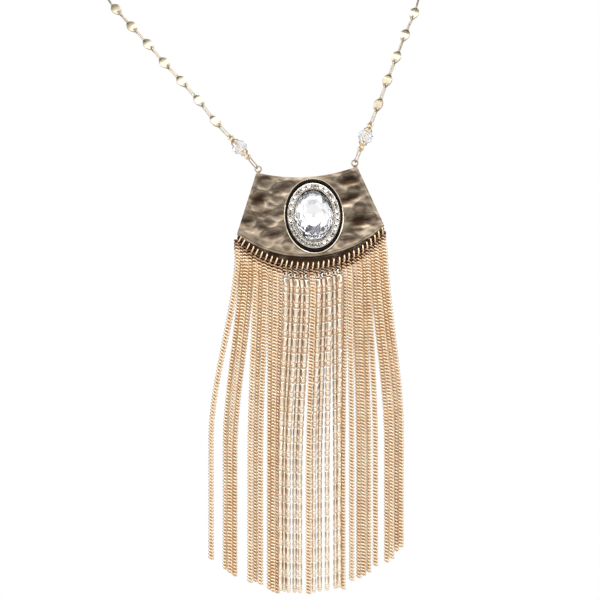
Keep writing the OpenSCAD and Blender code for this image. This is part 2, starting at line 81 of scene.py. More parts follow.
class NodeBench:
    """Lays out the nodes of one tree."""

    def __init__(self, tree: bpy.types.NodeTree) -> None:
        """Takes the tree that gets the nodes."""
        self.tree = tree

    def feed(self, target: Socket, value: Socket | float | Sequence[float]) -> None:
        """Gives an input socket a link or a plain value.

        Args:
            target: the input socket.
            value: socket that is linked to it, or its number or colour.
        """
        if isinstance(value, Socket):
            self.tree.links.new(value, target)
        else:
            target.default_value = value

    def node(self, kind: str, feeds: dict | None = None, **settings: object) -> bpy.types.Node:
        """Adds a node.

        Args:
            kind: the node's type, without the word ShaderNode.
            feeds: its inputs by name or number, each with a socket or a plain value.
            settings: its own choices by name.

        Returns:
            The node.
        """
        node = self.tree.nodes.new(f"ShaderNode{kind}")
        for name, choice in settings.items():
            setattr(node, name, choice)
        for name, value in (feeds or {}).items():
            self.feed(node.inputs[name], value)
        return node

    def ramp(self, factor: Socket, stops: Sequence[tuple[float, Colour]]) -> Socket:
        """Colour along a factor.

        Args:
            factor: socket that is read.
            stops: places from 0 to 1 with their colours.

        Returns:
            The colour socket.
        """
        node = self.node("ValToRGB", {"Fac": factor})
        row = node.color_ramp.elements
        while len(row) < len(stops):
            row.new(0.5)
        for element, (place, colour) in zip(row, stops):
            element.position = place
            element.color = (*colour, 1)
        return node.outputs["Color"]

    def between(self, factor: Socket, low: float, high: float,
                start: float = 0.3, end: float = 0.7) -> Socket:
        """Number that changes evenly as a factor does.

        Args:
            factor: socket that is read.
            low: the number at the start.
            high: the number at the end.
            start: the factor at the start.
            end: the factor at the end.

        Returns:
            The number's socket.
        """
        feeds = {"Value": factor, "From Min": start, "From Max": end, "To Min": low, "To Max": high}
        return self.node("MapRange", feeds).outputs["Result"]

    def mixed(self, factor: Socket | float, first: Socket | Colour, second: Socket | Colour,
              way: str = "MIX") -> Socket:
        """One colour over another.

        Args:
            factor: share of the second colour.
            first: socket or plain colour below.
            second: socket or plain colour above.
            way: blend type.

        Returns:
            The colour socket.
        """
        below, above = (c if isinstance(c, Socket) else (*c, 1) for c in (first, second))
        feeds = {"Factor": factor, 6: below, 7: above}
        return self.node("Mix", feeds, data_type="RGBA", blend_type=way).outputs[2]


class ShaderBench(NodeBench):
    """Lays out the nodes of one material, with sizes given in millimetres."""

    def __init__(self, name: str) -> None:
        """Starts a material with its plain shader.

        Args:
            name: name of the material.
        """
        self.material = bpy.data.materials.new(name)
        self.material.use_nodes = True
        super().__init__(self.material.node_tree)
        self.shader = next(n for n in self.tree.nodes if n.type == "BSDF_PRINCIPLED")
        self.coords = self.node("TexCoord").outputs["Object"]

    def noise(self, size: float, detail: float = 2.0, stretch: Triple = (1, 1, 1)) -> Socket:
        """Soft cloudy pattern.

        Args:
            size: width of one patch.
            detail: number of finer layers.
            stretch: scale along x, y and z.

        Returns:
            The factor socket.
        """
        mapping = self.node("Mapping", {"Vector": self.coords, "Scale": stretch})
        feeds = {"Vector": mapping.outputs["Vector"], "Scale": 1 / (size * MM), "Detail": detail}
        return self.node("TexNoise", feeds).outputs["Fac"]

    def cells(self, size: float, smoothness: float) -> Socket:
        """Rounded cells, as a small hammer leaves them.

        Args:
            size: width of one cell.
            smoothness: how soft the ridges are.

        Returns:
            The distance socket.
        """
        feeds = {"Vector": self.coords, "Scale": 1 / (size * MM), "Smoothness": smoothness}
        return self.node("TexVoronoi", feeds, feature="SMOOTH_F1").outputs["Distance"]

    def attribute(self, name: str) -> Socket:
        """Factor of the piece's own attribute."""
        return self.node("Attribute", attribute_name=name).outputs["Fac"]

    def facing(self) -> Socket:
        """How far the surface turns away from the eye, from 0 to 1."""
        return self.node("LayerWeight", {"Blend": 0.5}).outputs["Facing"]

    def bumped(self, height: Socket, depth: float, strength: float,
               over: Socket | None = None) -> Socket:
        """Surface bump.

        Args:
            height: socket with the height.
            depth: height of the bump.
            strength: share of it that shows.
            over: bump that lies below this one.

        Returns:
            The normal socket.
        """
        feeds = {"Distance": depth * MM, "Strength": strength, "Height": height}
        if over is not None:
            feeds["Normal"] = over
        return self.node("Bump", feeds).outputs["Normal"]

    def total(self, first: Socket, second: Socket) -> Socket:
        """Sum of two factors."""
        return self.node("Math", {0: first, 1: second}, operation="ADD").outputs[0]

    def set(self, name: str, value: Socket | float | Sequence[float]) -> None:
        """Gives the shader's socket a number, a colour or a link."""
        self.feed(self.shader.inputs[name], value)


@dataclass(frozen=True)
class PlatedMetal:
    """Bright plated metal whose tone and gloss drift a little, with fine wear, and painted shade in
    browns where its "shade" attribute asks and on edges that turn away.
    """

    name: str
    light: Colour
    deep: Colour
    gloss: float
    dull: float
    drift: float = 3.0
    grain: float = 0.25
    grain_depth: float = 0.01
    # Brown of painted shade and of a little random tone, then the deeper brown of the darkest painted
    # shade
    tone_and_shade_brown: Colour = (0.32, 0.17, 0.10)
    deep_shade_brown: Colour = (0.085, 0.040, 0.020)
    # Share of painted shade on edges that turn away from the eye
    edge_shade: float = 0.0
    # Share of painted shade at which the colour is all the shade brown, and turns to the deep shade
    # brown from there on
    deep_shade_from: float = 0.7

    def material(self) -> Finish:
        """Builds the material and returns it."""
        bench = ShaderBench(self.name)
        drift = bench.noise(self.drift, 3)
        fine = bench.noise(self.grain)
        shade = bench.attribute("shade")
        plating = bench.ramp(drift, [(0.32, self.deep), (0.62, self.light)])
        if self.edge_shade:
            # Painted shade: the plating browns on edges that turn away from the eye
            edge = bench.between(bench.facing(), 0.0, self.edge_shade, start=0.30, end=0.85)
            plating = bench.mixed(edge, plating, self.tone_and_shade_brown)
        # Painted shade from the "shade" attribute: the plating turns to the shade brown, and where the
        # shade is deepest to a darker brown
        thin = bench.between(shade, 0.0, 1.0, start=0.0, end=self.deep_shade_from)
        deep_shade_share = bench.between(shade, 0.0, 1.0, start=self.deep_shade_from, end=1.0)
        shaded_plating = bench.mixed(thin, plating, self.tone_and_shade_brown)
        bench.set("Base Color", bench.mixed(deep_shade_share, shaded_plating, self.deep_shade_brown))
        bench.set("Metallic", 1.0)
        bench.set("Roughness", bench.between(fine, self.gloss, self.dull))
        bench.set("Normal", bench.bumped(fine, self.grain_depth, strength=0.35))
        return bench.material


@dataclass(frozen=True)
class HammeredBrass:
    """Hammered antique brass: pale on the crests and dark brown in the hollows, with painted shade on
    the lip.
    """

    name: str = "hammered_antique_brass"
    light: Colour = (0.60, 0.485, 0.365)
    warm: Colour = (0.128, 0.093, 0.061)
    dark: Colour = (0.042, 0.024, 0.015)
    # Widths of the clouds, the specks and the hammer's cells, and the clouds' scale along the axes
    cloud: float = 3.4
    cloud_stretch: Triple = (0.6, 1.0, 1.5)
    speck: float = 0.7
    cell: float = 2.6
    gloss: float = 0.15
    dull: float = 0.34

    def material(self) -> Finish:
        """Builds the material and returns it."""
        bench = ShaderBench(self.name)
        cloud = bench.noise(self.cloud, 3, self.cloud_stretch)
        speck = bench.noise(self.speck)
        bright = bench.ramp(cloud, [(0.28, self.warm), (0.72, self.light)])
        # The plate's attribute holds patina in the hollows and painted shade on the lip; both turn the
        # brass dark here
        spread = bench.total(bench.attribute("tarnish"), bench.between(cloud, 0.14, -0.14))
        stain_and_shade = bench.between(spread, 0.0, 1.0, start=0.12, end=0.95)
        bench.set("Base Color", bench.mixed(stain_and_shade, bright, self.dark))
        bench.set("Metallic", 1.0)
        rough = bench.total(spread, bench.between(speck, -0.1, 0.1))
        bench.set("Roughness", bench.between(rough, self.gloss, self.dull, start=0.1, end=0.9))
        low = bench.bumped(bench.cells(self.cell, smoothness=0.9), depth=0.10, strength=0.35)
        bench.set("Normal", bench.bumped(speck, depth=0.012, strength=0.4, over=low))
        return bench.material


@dataclass(frozen=True)
class BlackEnamel:
    """Fired black enamel with a faint brown depth under a clear gloss."""

    name: str = "fired_black_enamel"
    black: Colour = (0.002, 0.0015, 0.0015)
    brown: Colour = (0.010, 0.006, 0.005)
    shine: float = 0.09

    def material(self) -> Finish:
        """Builds the material and returns it."""
        bench = ShaderBench(self.name)
        depth = bench.noise(1.8, 3)
        bench.set("Base Color", bench.ramp(depth, [(0.35, self.black), (0.7, self.brown)]))
        bench.set("Roughness", bench.between(bench.noise(0.5), 0.05, 0.14))
        bench.set("Specular IOR Level", self.shine)
        bench.set("Normal", bench.bumped(bench.noise(1.1), depth=0.02, strength=0.3))
        return bench.material


@dataclass(frozen=True)
class CutCrystal:
    """Clear cut crystal with a trace of cloud in its polish."""

    name: str
    ior: float = 1.54
    haze: float = 0.03
    # Share of painted shade on edges that turn away from the eye
    edge_shade: float = 0.0
    clear: Colour = (1.0, 1.0, 1.0)
    cloudy: Colour = (0.97, 0.97, 0.97)
    shadow: Colour = (0.34, 0.35, 0.30)

    def material(self) -> Finish:
        """Builds the material and returns it."""
        bench = ShaderBench(self.name)
        polish = bench.noise(1.6)
        colour = bench.ramp(polish, [(0.3, self.cloudy), (0.7, self.clear)])
        if self.edge_shade:
            # Painted shade: the crystal greys on edges that turn away from the eye
            edge = bench.between(bench.facing(), 0.0, self.edge_shade, start=0.35, end=0.9)
            colour = bench.mixed(edge, colour, self.shadow)
        bench.set("Base Color", colour)
        bench.set("Transmission Weight", 1.0)
        bench.set("IOR", self.ior)
        bench.set("Roughness", bench.between(polish, 0.0, self.haze))
        return bench.material


@dataclass(frozen=True)
class SilverFoil:
    """Mirror foil behind a stone, slightly clouded, with painted grey and dark reflections on the facets
    whose tones are low.
    """

    name: str = "stone_foil"
    light: Colour = (0.97, 0.97, 0.98)
    dark_reflection: Colour = (0.12, 0.12, 0.14)
    grey_reflection: Colour = (0.56, 0.56, 0.61)

    def material(self) -> Finish:
        """Builds the material and returns it."""
        bench = ShaderBench(self.name)
        # Painted reflections: low facet tones turn the foil dark grey or misty grey
        stops = [(0.0, self.dark_reflection), (0.35, self.grey_reflection), (0.6, self.light)]
        bench.set("Base Color", bench.ramp(bench.attribute("facet"), stops))
        bench.set("Metallic", 1.0)
        bench.set("Roughness", bench.between(bench.noise(0.8), 0.03, 0.10))
        return bench.material


@dataclass(frozen=True)
class StudioPaper:
    """Matt white paper of the floor."""

    name: str = "studio_paper"
    light: Colour = (0.92, 0.92, 0.92)
    fibre: Colour = (0.9062, 0.9062, 0.9062)

    def material(self) -> Finish:
        """Builds the material and returns it."""
        bench = ShaderBench(self.name)
        bench.set("Base Color", bench.ramp(bench.noise(18, 4), [(0.3, self.fibre), (0.7, self.light)]))
        bench.set("Roughness", 0.9)
        return bench.material


# Work at the bench


def put_down() -> None:
    """Leaves edit mode and deselects everything."""
    if bpy.context.object is not None and bpy.context.object.mode != "OBJECT":
        bpy.ops.object.mode_set(mode="OBJECT")
    bpy.ops.object.select_all(action="DESELECT")


def take(piece: Piece) -> None:
    """Selects a piece alone and makes it the active one.

    Args:
        piece: the mesh object.
    """
    put_down()
    piece.select_set(True)
    bpy.context.view_layer.objects.active = piece


def pick(piece: Piece, wanted: Callable[[np.ndarray], np.ndarray]) -> None:
    """Selects a piece's vertices by their places and goes to edit mode.

    Args:
        piece: the mesh object.
        wanted: takes the places as rows of x, y, z and tells which are chosen.
    """
    take(piece)
    chosen = wanted(places_of(piece))
    bpy.ops.object.mode_set(mode="EDIT")
    bpy.ops.mesh.select_mode(type="VERT")
    bpy.ops.mesh.select_all(action="DESELECT")
    bpy.ops.object.mode_set(mode="OBJECT")
    piece.data.vertices.foreach_set("select", chosen.astype(bool))
    bpy.ops.object.mode_set(mode="EDIT")


def places_of(piece: Piece) -> np.ndarray:
    """A piece's vertex places.

    Args:
        piece: the mesh object.

    Returns:
        Rows of x, y, z.
    """
    flat = np.empty(len(piece.data.vertices) * 3)
    piece.data.vertices.foreach_get("co", flat)
    return flat.reshape(-1, 3)


def move_to(piece: Piece, places: np.ndarray) -> None:
    """Gives a piece's vertices new places."""
    piece.data.vertices.foreach_set("co", np.ascontiguousarray(places, dtype=float).ravel())
    piece.data.update()


def noted(mesh: bpy.types.Mesh, name: str, values: np.ndarray, domain: str = "POINT") -> None:
    """Writes a number for each vertex or face of a mesh.

    Args:
        mesh: the mesh.
        name: the attribute that holds the numbers.
        values: the numbers.
        domain: POINT for vertices and FACE for faces.
    """
    row = mesh.attributes.new(name, "FLOAT", domain)
    row.data.foreach_set("value", values.astype(np.float32))


def placed(name: str, data: bpy.types.ID) -> Piece:
    """Puts a mesh, a lamp or a camera into the scene.

    Args:
        name: name of the new object.
        data: what it holds.

    Returns:
        The object.
    """
    piece = bpy.data.objects.new(name, data)
    bpy.context.scene.collection.objects.link(piece)
    return piece


def shift(x: float, y: float, z: float) -> Matrix:
    """Frame that is moved by those lengths."""
    return Matrix.Translation((x, y, z))


def finish_with(piece: Piece, kind: str, **settings: object) -> None:
    """Adds a modifier with its settings and applies it.

    Args:
        piece: the mesh object.
        kind: the modifier's type.
        settings: the modifier's values by name.
    """
    take(piece)
    modifier = piece.modifiers.new(kind.lower(), kind)
    for name, value in settings.items():
        setattr(modifier, name, value)
    bpy.ops.object.modifier_apply(modifier=modifier.name)


def broken_edges(piece: Piece, width: float, segments: int) -> None:
    """Bevels a piece's sharp edges.

    Args:
        piece: the mesh object.
        width: width of the bevel.
        segments: its steps.
    """
    finish_with(piece, "BEVEL", width=width, segments=segments, limit_method="ANGLE",
                angle_limit=math.radians(50))


def cut_by(piece: Piece, cutter: Piece) -> None:
    """Cuts one piece out of another and removes the cutter.

    Args:
        piece: the mesh object that is cut.
        cutter: the closed mesh object that cuts.
    """
    finish_with(piece, "BOOLEAN", operation="DIFFERENCE", object=cutter, solver="EXACT")
    bpy.data.objects.remove(cutter)


def smooth(piece: Piece, angle: float) -> None:
    """Shades a piece smooth, with creases past that angle in degrees."""
    take(piece)
    bpy.ops.object.shade_smooth_by_angle(angle=math.radians(angle))


def joined(pieces: Sequence[Piece], name: str) -> Piece:
    """Joins pieces into the first one.

    Args:
        pieces: two or more mesh objects.
        name: name of the whole.

    Returns:
        The whole.
    """
    put_down()
    for piece in pieces:
        piece.select_set(True)
    bpy.context.view_layer.objects.active = pieces[0]
    bpy.ops.object.join()
    pieces[0].name = name
    pieces[0].data.name = name
    return pieces[0]


def copies(pattern: Piece, spots: Sequence[Matrix], name: str,
           shades: Sequence[float] | float = 0.0) -> Piece:
    """One mesh of many copies of a pattern.

    Args:
        pattern: the modelled piece, which is removed; its own "shade" is kept.
        spots: place and turn of each copy.
        name: name of the new piece.
        shades: how dark each copy is, from 0 to 1: painted shade, with a little random tone on curb
            links.

    Returns:
        The new piece, with the shades in the attribute "shade".
    """
    source = pattern.data
    shape = places_of(pattern)
    count, times = len(shape), len(spots)
    turns = np.array([[list(row) for row in spot] for spot in spots])
    spread = np.einsum("nij,vj->nvi", turns[:, :3, :3], shape) + turns[:, None, :3, 3]
    faces = [tuple(p.vertices) for p in source.polygons]
    rows = [tuple(v + k * count for v in f) for k in range(times) for f in faces]
    mesh = bpy.data.meshes.new(name)
    mesh.from_pydata(spread.reshape(-1, 3).tolist(), [], rows)
    own = np.zeros(count, dtype=np.float32)
    if "shade" in source.attributes:
        source.attributes["shade"].data.foreach_get("value", own)
    each = np.broadcast_to(np.asarray(shades, dtype=np.float32), times)
    noted(mesh, "shade", np.clip(np.repeat(each, count) + np.tile(own, times), 0, 1))
    mesh.polygons.foreach_set("use_smooth", np.tile([p.use_smooth for p in source.polygons], times))
    mesh.update()
    bpy.data.objects.remove(pattern)
    return placed(name, mesh)


def settled(piece: Piece, name: str, finish: Finish, nodes: Sequence[str],
            spot: Matrix | None = None) -> None:
    """Brings a finished piece to its place in metres, dresses it and lets it ride.

    Args:
        piece: the modelled piece, in millimetres.
        name: the piece's name.
        finish: its material.
        nodes: solids that it stands for.
        spot: frame that it was drawn in, if that isn't the necklace's own.
    """
    put_down()
    spot = spot or Matrix.Identity(4)
    piece.data.transform(Matrix.Scale(MM, 4) @ spot @ piece.matrix_world)
    piece.matrix_world = Matrix.Identity(4)
    piece.name = name
    piece.data.name = name
    piece.data.materials.clear()
    piece.data.materials.append(finish)
    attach(piece, "root")
    if nodes:
        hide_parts(*nodes)
    triangles = sum(len(p.vertices) - 2 for p in piece.data.polygons)
    log.info("%s: %d triangles, stands for %s", name, triangles, ", ".join(nodes) or "nothing")


def dress(node: str, finish: Finish) -> None:
    """Gives a carried-over solid its finish.

    Args:
        node: the solid's name.
        finish: its material.
    """
    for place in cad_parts[node].material_slots:
        place.material = finish
    log.info("%s: kept solid, finished in %s", node, finish.name)


def small_ring(radius: float, wire: float, around: int, across: int) -> Piece:
    """Round wire ring that stands in the XZ plane.

    Args:
        radius: from its middle to the middle of the wire.
        wire: thickness of the wire.
        around: steps round the ring.
        across: steps round the wire.

    Returns:
        The ring.
    """
    put_down()
    bpy.ops.mesh.primitive_torus_add(
        major_segments=around, minor_segments=across, major_radius=radius,
        minor_radius=wire / 2, rotation=(math.pi / 2, 0, 0))
    ring = bpy.context.object
    bpy.ops.object.transform_apply(location=True, rotation=True, scale=True)
    return ring


def long_ring(width: float, length: float, wire: float, around: int, across: int) -> Piece:
    """Long wire link in the XZ plane, a ring drawn out along Z.

    Args:
        width: outer width.
        length: outer length.
        wire: thickness of the wire.
        around: steps round the link.
        across: steps round the wire.

    Returns:
        The link.
    """
    link = small_ring((width - wire) / 2, wire, around, across)
    half = (length - width) / 2
    for sign in (-1, 1):
        pick(link, lambda p, s=sign: p[:, 2] * s > 1e-4)
        bpy.ops.transform.translate(value=(0, 0, sign * half))
    put_down()
    return link


def oval_turning(rows: Sequence[Triple], steps: int, capped: bool) -> Piece:
    """Turns a profile round an oval, row by row.

    Args:
        rows: full width, full height and level of each row, from the start on.
        steps: places round the oval.
        capped: True closes both ends with a face, and False joins the last row to the first.

    Returns:
        The closed piece, with z as its level.
    """
    put_down()
    bpy.ops.mesh.primitive_circle_add(vertices=steps, radius=0.5, fill_type="NOTHING")
    piece = bpy.context.object
    bpy.ops.object.mode_set(mode="EDIT")
    bpy.ops.mesh.select_all(action="SELECT")
    width, height, level = rows[0]
    bpy.ops.transform.resize(value=(width, height, 1))
    bpy.ops.transform.translate(value=(0, 0, level))
    if capped:
        bpy.ops.mesh.edge_face_add()
        bpy.ops.mesh.select_all(action="SELECT")
    for next_width, next_height, next_level in rows[1:]:
        bpy.ops.mesh.extrude_region_move(TRANSFORM_OT_translate={"value": (0, 0, next_level - level)})
        bpy.ops.transform.resize(value=(next_width / width, next_height / height, 1))
        width, height, level = next_width, next_height, next_level
    if not capped:
        bpy.ops.mesh.select_all(action="DESELECT")
        bpy.ops.mesh.select_non_manifold()
        bpy.ops.mesh.bridge_edge_loops()
    bpy.ops.mesh.select_all(action="SELECT")
    bpy.ops.mesh.normals_make_consistent(inside=False)
    put_down()
    return piece


def ease(t: np.ndarray | float) -> np.ndarray | float:
    """Smooth step from 0 to 1."""
    t = np.clip(t, 0.0, 1.0)
    return t * t * (3 - 2 * t)


# Plate


@dataclass(frozen=True)
class TarnishAndShade:
    """Shares of dark on the plate, from 0 to 1, with the widths in which they come: patina in the
    hollows, painted shade on the lip, and darker bands and patches elsewhere.
    """

    least: float = 0.06
    hollow: float = 0.90
    hollow_depth: float = 0.24
    # What the hollows' dark loses on the back, and how deep the back starts
    back_relief: float = 0.7
    back_from: float = 0.4
    # Right part of the plate: share, place across and width
    right: Triple = (0.06, 6.0, 8.0)
    # Under the top edge: share, how far down it reaches and how far the bright edge does
    top: Triple = (0.20, 5.5, 0.8)
    # Lip, painted shade on the strip below the sheet's edge: share, width above the sheet's edge and
    # angle past its corners
    lip: Triple = (0.9, 0.45, 0.02)
    # Eyes and top corners: share, level, half height and lowest level
    corners: tuple[float, float, float, float] = (0.25, 0.3, 1.1, -2.5)
    # Whole back: share and how deep it starts
    back: Pair = (0.25, 0.9)
    back_width: float = 0.5


@dataclass
class HammeredPlate:
    """Bent and hammered sheet with its pierced lower lip and its corner eyes."""

    top_w: float = 35.4
    bottom_w: float = 51.8
    side_h: float = 21.6
    top_sag: float = 3.0
    bottom_sag: float = 10.0
    thick: float = 1.3
    bend_r: float = 140.0
    lean: float = 10.5
    roll: float = 3.6
    place: Vector = field(default_factory=lambda: Vector((15.3, -114.5, -114.9)))
    eye_wire: float = 0.5
    eye_hole: float = 1.6
    # How far the eyes stand in from the corners and up, and the stretch of their solder
    eye_in: float = 0.7
    eye_up: float = 0.2
    solder: Triple = (1.25, 1.0, 0.8)
    hole_d: float = 0.5
    hole_rise: float = 0.6
    hole_slack: float = 0.06
    ring_wire: float = 0.62
    ring_hole: float = 1.45
    lip_drop: float = 1.8
    lip_thick: float = 0.7
    # The lip's tuck behind the sheet, and what it lacks of the row's angle at each end, in degrees
    lip_tuck: float = 0.3
    lip_short: float = 2.2
    # Rounding of the lip's ends: depth, and shares of its half length where it starts and that it takes
    lip_round: Triple = (0.8, 0.96, 0.04)
    # From the row's arc to the holes, from there to the lip's edge, and the row's free angle in degrees
    row_to_hole: float = 0.405
    hole_to_edge: float = 1.6
    row_free: float = 7.0
    end_rise: float = 1.2
    strands: int = 31
    setting_x: float = 1.4
    setting_drop: float = 17.2
    setting_w: float = 21.0
    setting_h: float = 27.0
    setting_gap: float = 0.12
    # Edges of the sheet: depth and width of each roll, where less than 0 swells forwards
    hem_roll: Pair = (0.34, 0.8)
    hem_swell: Pair = (-0.26, 6.5)
    top_roll: Pair = (0.12, 1.4)
    side_roll: Pair = (0.12, 1.2)
    # Half width that the side roll counts with, deepest hollow, and how far the face stands forward
    half_w: float = 22.0
    deepest: float = 0.8
    proud: float = 0.1
    # Hammer dents: place across and down as shares, then radius and depth as shares
    dents: tuple[tuple[float, float, float, float], ...] = (
        (-0.58, 0.13, 0.75, 0.22), (-0.43, 0.31, 0.65, 0.20), (-0.68, 0.37, 0.70, 0.22),
        (-0.80, 0.60, 0.65, 0.22), (-0.53, 0.54, 0.75, 0.24), (-0.60, 0.78, 0.70, 0.22),
        (-0.33, 0.86, 0.60, 0.18), (0.55, 0.11, 0.70, 0.20), (0.62, 0.30, 0.65, 0.24),
        (0.68, 0.50, 0.75, 0.20), (0.84, 0.62, 0.60, 0.22), (0.60, 0.72, 0.70, 0.22),
        (0.40, 0.87, 0.55, 0.16), (-0.36, 0.08, 0.55, 0.14))
    # Share of a dent's depth that is left, and how steep its edge is
    dent_share: float = 0.5
    dent_edge: float = 1.2
    # Broad soft blows: place across, place up, half width, half height, depth
    blows: tuple[tuple[float, float, float, float, float], ...] = (
        (-8.6, -6.6, 5.0, 2.8, 0.50), (12.9, -12.0, 5.4, 2.5, 0.55), (14.6, -4.9, 5.0, 2.7, 0.50),
        (17.6, -19.4, 6.0, 3.0, 0.58), (-17.0, -9.6, 4.4, 3.4, 0.56), (-13.4, -22.6, 5.4, 2.6, 0.48),
        (-10.8, -15.8, 3.2, 2.5, 0.42), (-21.6, -17.2, 3.6, 2.8, 0.44), (14.0, -26.2, 5.0, 2.2, 0.30))
    # Rise of the blows' long side, as a share of the way across
    blow_slant: float = 0.12
    # Small taps: how many, and the spans of place across and up, half width, half height, turn and depth
    taps: int = 110
    tap_seed: int = 41
    tap_spans: tuple[Pair, ...] = (
        (-26, 26), (-32, 0), (1.8, 4.0), (0.9, 1.8), (-0.4, 0.4), (0.02, 0.075))
    age: TarnishAndShade = TarnishAndShade()

    def __post_init__(self) -> None:
        """Works out the arcs of the two edges and the row of holes."""
        self.depth = self.side_h + self.bottom_sag
        self.top_r, self.top_angle = self.arc(self.top_w, self.top_sag)
        self.low_r, self.low_angle = self.arc(self.bottom_w, self.bottom_sag)
        self.low_z = self.low_r - self.depth
        self.row_r, self.row_angle = self.arc(self.bottom_w, self.bottom_sag + self.lip_drop)
        self.row_z = self.row_r - self.depth - self.lip_drop
        self.hole_r = self.row_r + self.row_to_hole
        self.ring_r = (self.ring_hole + self.ring_wire) / 2
        self.lip_r = self.hole_r + self.hole_to_edge
        self.lip_back = self.thick - self.lip_thick
        self.step = (2 * self.row_angle - math.radians(self.row_free)) / (self.strands - 1)
        self.frame = (Matrix.Translation(self.place) @ Matrix.Rotation(math.radians(-self.lean), 4, "X")
                      @ Matrix.Rotation(math.radians(-self.roll), 4, "Y"))
        seat_depth = self.front(self.setting_w / 2 + self.setting_x)
        at = shift(self.setting_x, seat_depth, -self.setting_drop)
        turn = Matrix.Rotation(math.pi / 2, 4, "X")
        self.seat = at @ turn
        self.face = self.frame @ at @ turn

    @staticmethod
    def arc(width: float, sag: float) -> Pair:
        """Arc over a chord.

        Args:
            width: length of the chord.
            sag: height of the arc.

        Returns:
            The radius, and half of the angle that the arc spans.
        """
        radius = ((width / 2) ** 2 + sag ** 2) / (2 * sag)
        return radius, math.asin(width / 2 / radius)

    def bend(self, x: np.ndarray) -> np.ndarray:
        """Depth of the bent sheet's front at places across."""
        return self.bend_r - np.sqrt(self.bend_r ** 2 - x * x)

    def front(self, x: float) -> float:
        """Depth of the bent sheet's front at one place across."""
        return float(self.bend(np.array(x)))

    def rise(self, angle: np.ndarray | float) -> np.ndarray | float:
        """How far the row of rings has risen at angles from straight down."""
        return self.end_rise * (angle / self.row_angle) ** 2

    def row_place(self, radius: float, angle: float) -> Pair:
        """Place on an arc of the row of rings, by its angle from straight down."""
        return radius * math.sin(angle), self.row_z - radius * math.cos(angle) + self.rise(angle)

    def ring_angle(self, index: int) -> float:
        """Angle of a jump ring along its row."""
        return (index - (self.strands - 1) / 2) * self.step

    def hollows(self, x: np.ndarray, z: np.ndarray) -> np.ndarray:
        """Depth of the hammer dents at places on the sheet.

        Args:
            x: places across.
            z: places up.

        Returns:
            Depth behind the smooth sheet, in millimetres.
        """
        deep = np.zeros_like(x)
        for across, down, radius, depth in self.dents:
            far = (x - across * self.bottom_w / 2) ** 2 + (z + down * self.depth) ** 2
            wide = 2 * (radius * self.side_h) * depth * self.thick
            dent = ease(self.dent_edge - self.dent_edge * far / wide)
            deep = np.maximum(deep, self.dent_share * depth * self.thick * dent)
        for cx, cz, wide, tall, depth in self.blows:
            far = ((x - cx) / wide) ** 2 + ((z - cz - self.blow_slant * (x - cx)) / tall) ** 2
            deep = deep + depth * np.maximum(1 - far, 0) ** 2
        rng = np.random.default_rng(self.tap_seed)
        for _ in range(self.taps):
            cx, cz, wide, tall, turn, depth = (rng.uniform(*span) for span in self.tap_spans)
            a = (x - cx) * math.cos(turn) + (z - cz) * math.sin(turn)
            b = (z - cz) * math.cos(turn) - (x - cx) * math.sin(turn)
            far = (a / wide) ** 2 + (b / tall) ** 2
            deep = deep + depth * np.maximum(1 - far, 0) ** 2
        return deep

    def sheet(self) -> Piece:
        """The hammered sheet, with the seat of the setting cut into it."""
        put_down()
        bpy.ops.mesh.primitive_grid_add(x_subdivisions=190, y_subdivisions=112, size=2)
        sheet = bpy.context.object
        flat = places_of(sheet)
        u, v = flat[:, 0], (1 - flat[:, 1]) / 2
        over, under = u * self.top_angle, u * self.low_angle
        top = np.stack([self.top_r * np.sin(over), -self.top_sag + self.top_r * (1 - np.cos(over))])
        low = np.stack([self.low_r * np.sin(under), self.low_z - self.low_r * np.cos(under)])
        x, z = top * (1 - v) + low * v
        tall = np.hypot(*(low - top))
        above, below, inside = (1 - v) * tall, v * tall, (1 - np.abs(u)) * self.half_w
        bands = ((above, *self.hem_roll), (above, *self.hem_swell), (below, *self.top_roll),
                 (inside, *self.side_roll))
        rolled = sum(depth * ease(1 - far / width) for far, depth, width in bands)
        y = self.bend(x) + np.minimum(self.hollows(x, z) + rolled, self.deepest) - self.proud
        move_to(sheet, np.stack([x, y, z], 1))
        finish_with(sheet, "SOLIDIFY", thickness=self.thick, offset=-1.0)
        broken_edges(sheet, 0.22, 3)
        width, height = self.setting_w + self.setting_gap, self.setting_h + self.setting_gap
        cutter = oval_turning([(width, height, level) for level in (0, 6)], 128, True)
        cutter.data.transform(self.seat)
        cut_by(sheet, cutter)
        return sheet

    def lip(self) -> Piece:
        """The pierced strip along the lower edge that carries the jump rings."""
        put_down()
        bpy.ops.mesh.primitive_grid_add(x_subdivisions=124, y_subdivisions=4, size=2)
        lip = bpy.context.object
        flat = places_of(lip)
        angle = flat[:, 0] * (self.row_angle - math.radians(self.lip_short))
        inner = self.row_r - self.lip_drop - self.lip_tuck
        depth, start, length = self.lip_round
        outer = self.lip_r - depth * ease((np.abs(flat[:, 0]) - start) / length)
        radius = inner + (outer - inner) * (1 - flat[:, 1]) / 2
        x, z = radius * np.sin(angle), self.row_z - radius * np.cos(angle) + self.rise(angle)
        move_to(lip, np.stack([x, self.bend(x) + self.lip_back, z], 1))
        finish_with(lip, "SOLIDIFY", thickness=self.lip_thick, offset=-1.0)
        broken_edges(lip, 0.12, 2)
        put_down()
        bpy.ops.mesh.primitive_cylinder_add(
            vertices=20, radius=self.hole_d / 2, depth=8, rotation=(math.pi / 2, 0, 0))
        drill = bpy.context.object
        bpy.ops.object.transform_apply(rotation=True)
        row = self.hole_r + self.hole_slack - self.hole_rise
        holes = [self.row_place(row, self.ring_angle(index)) for index in range(self.strands)]
        cut_by(lip, copies(drill, [shift(x, self.front(x) + 1, z) for x, z in holes], "drills"))
        return lip

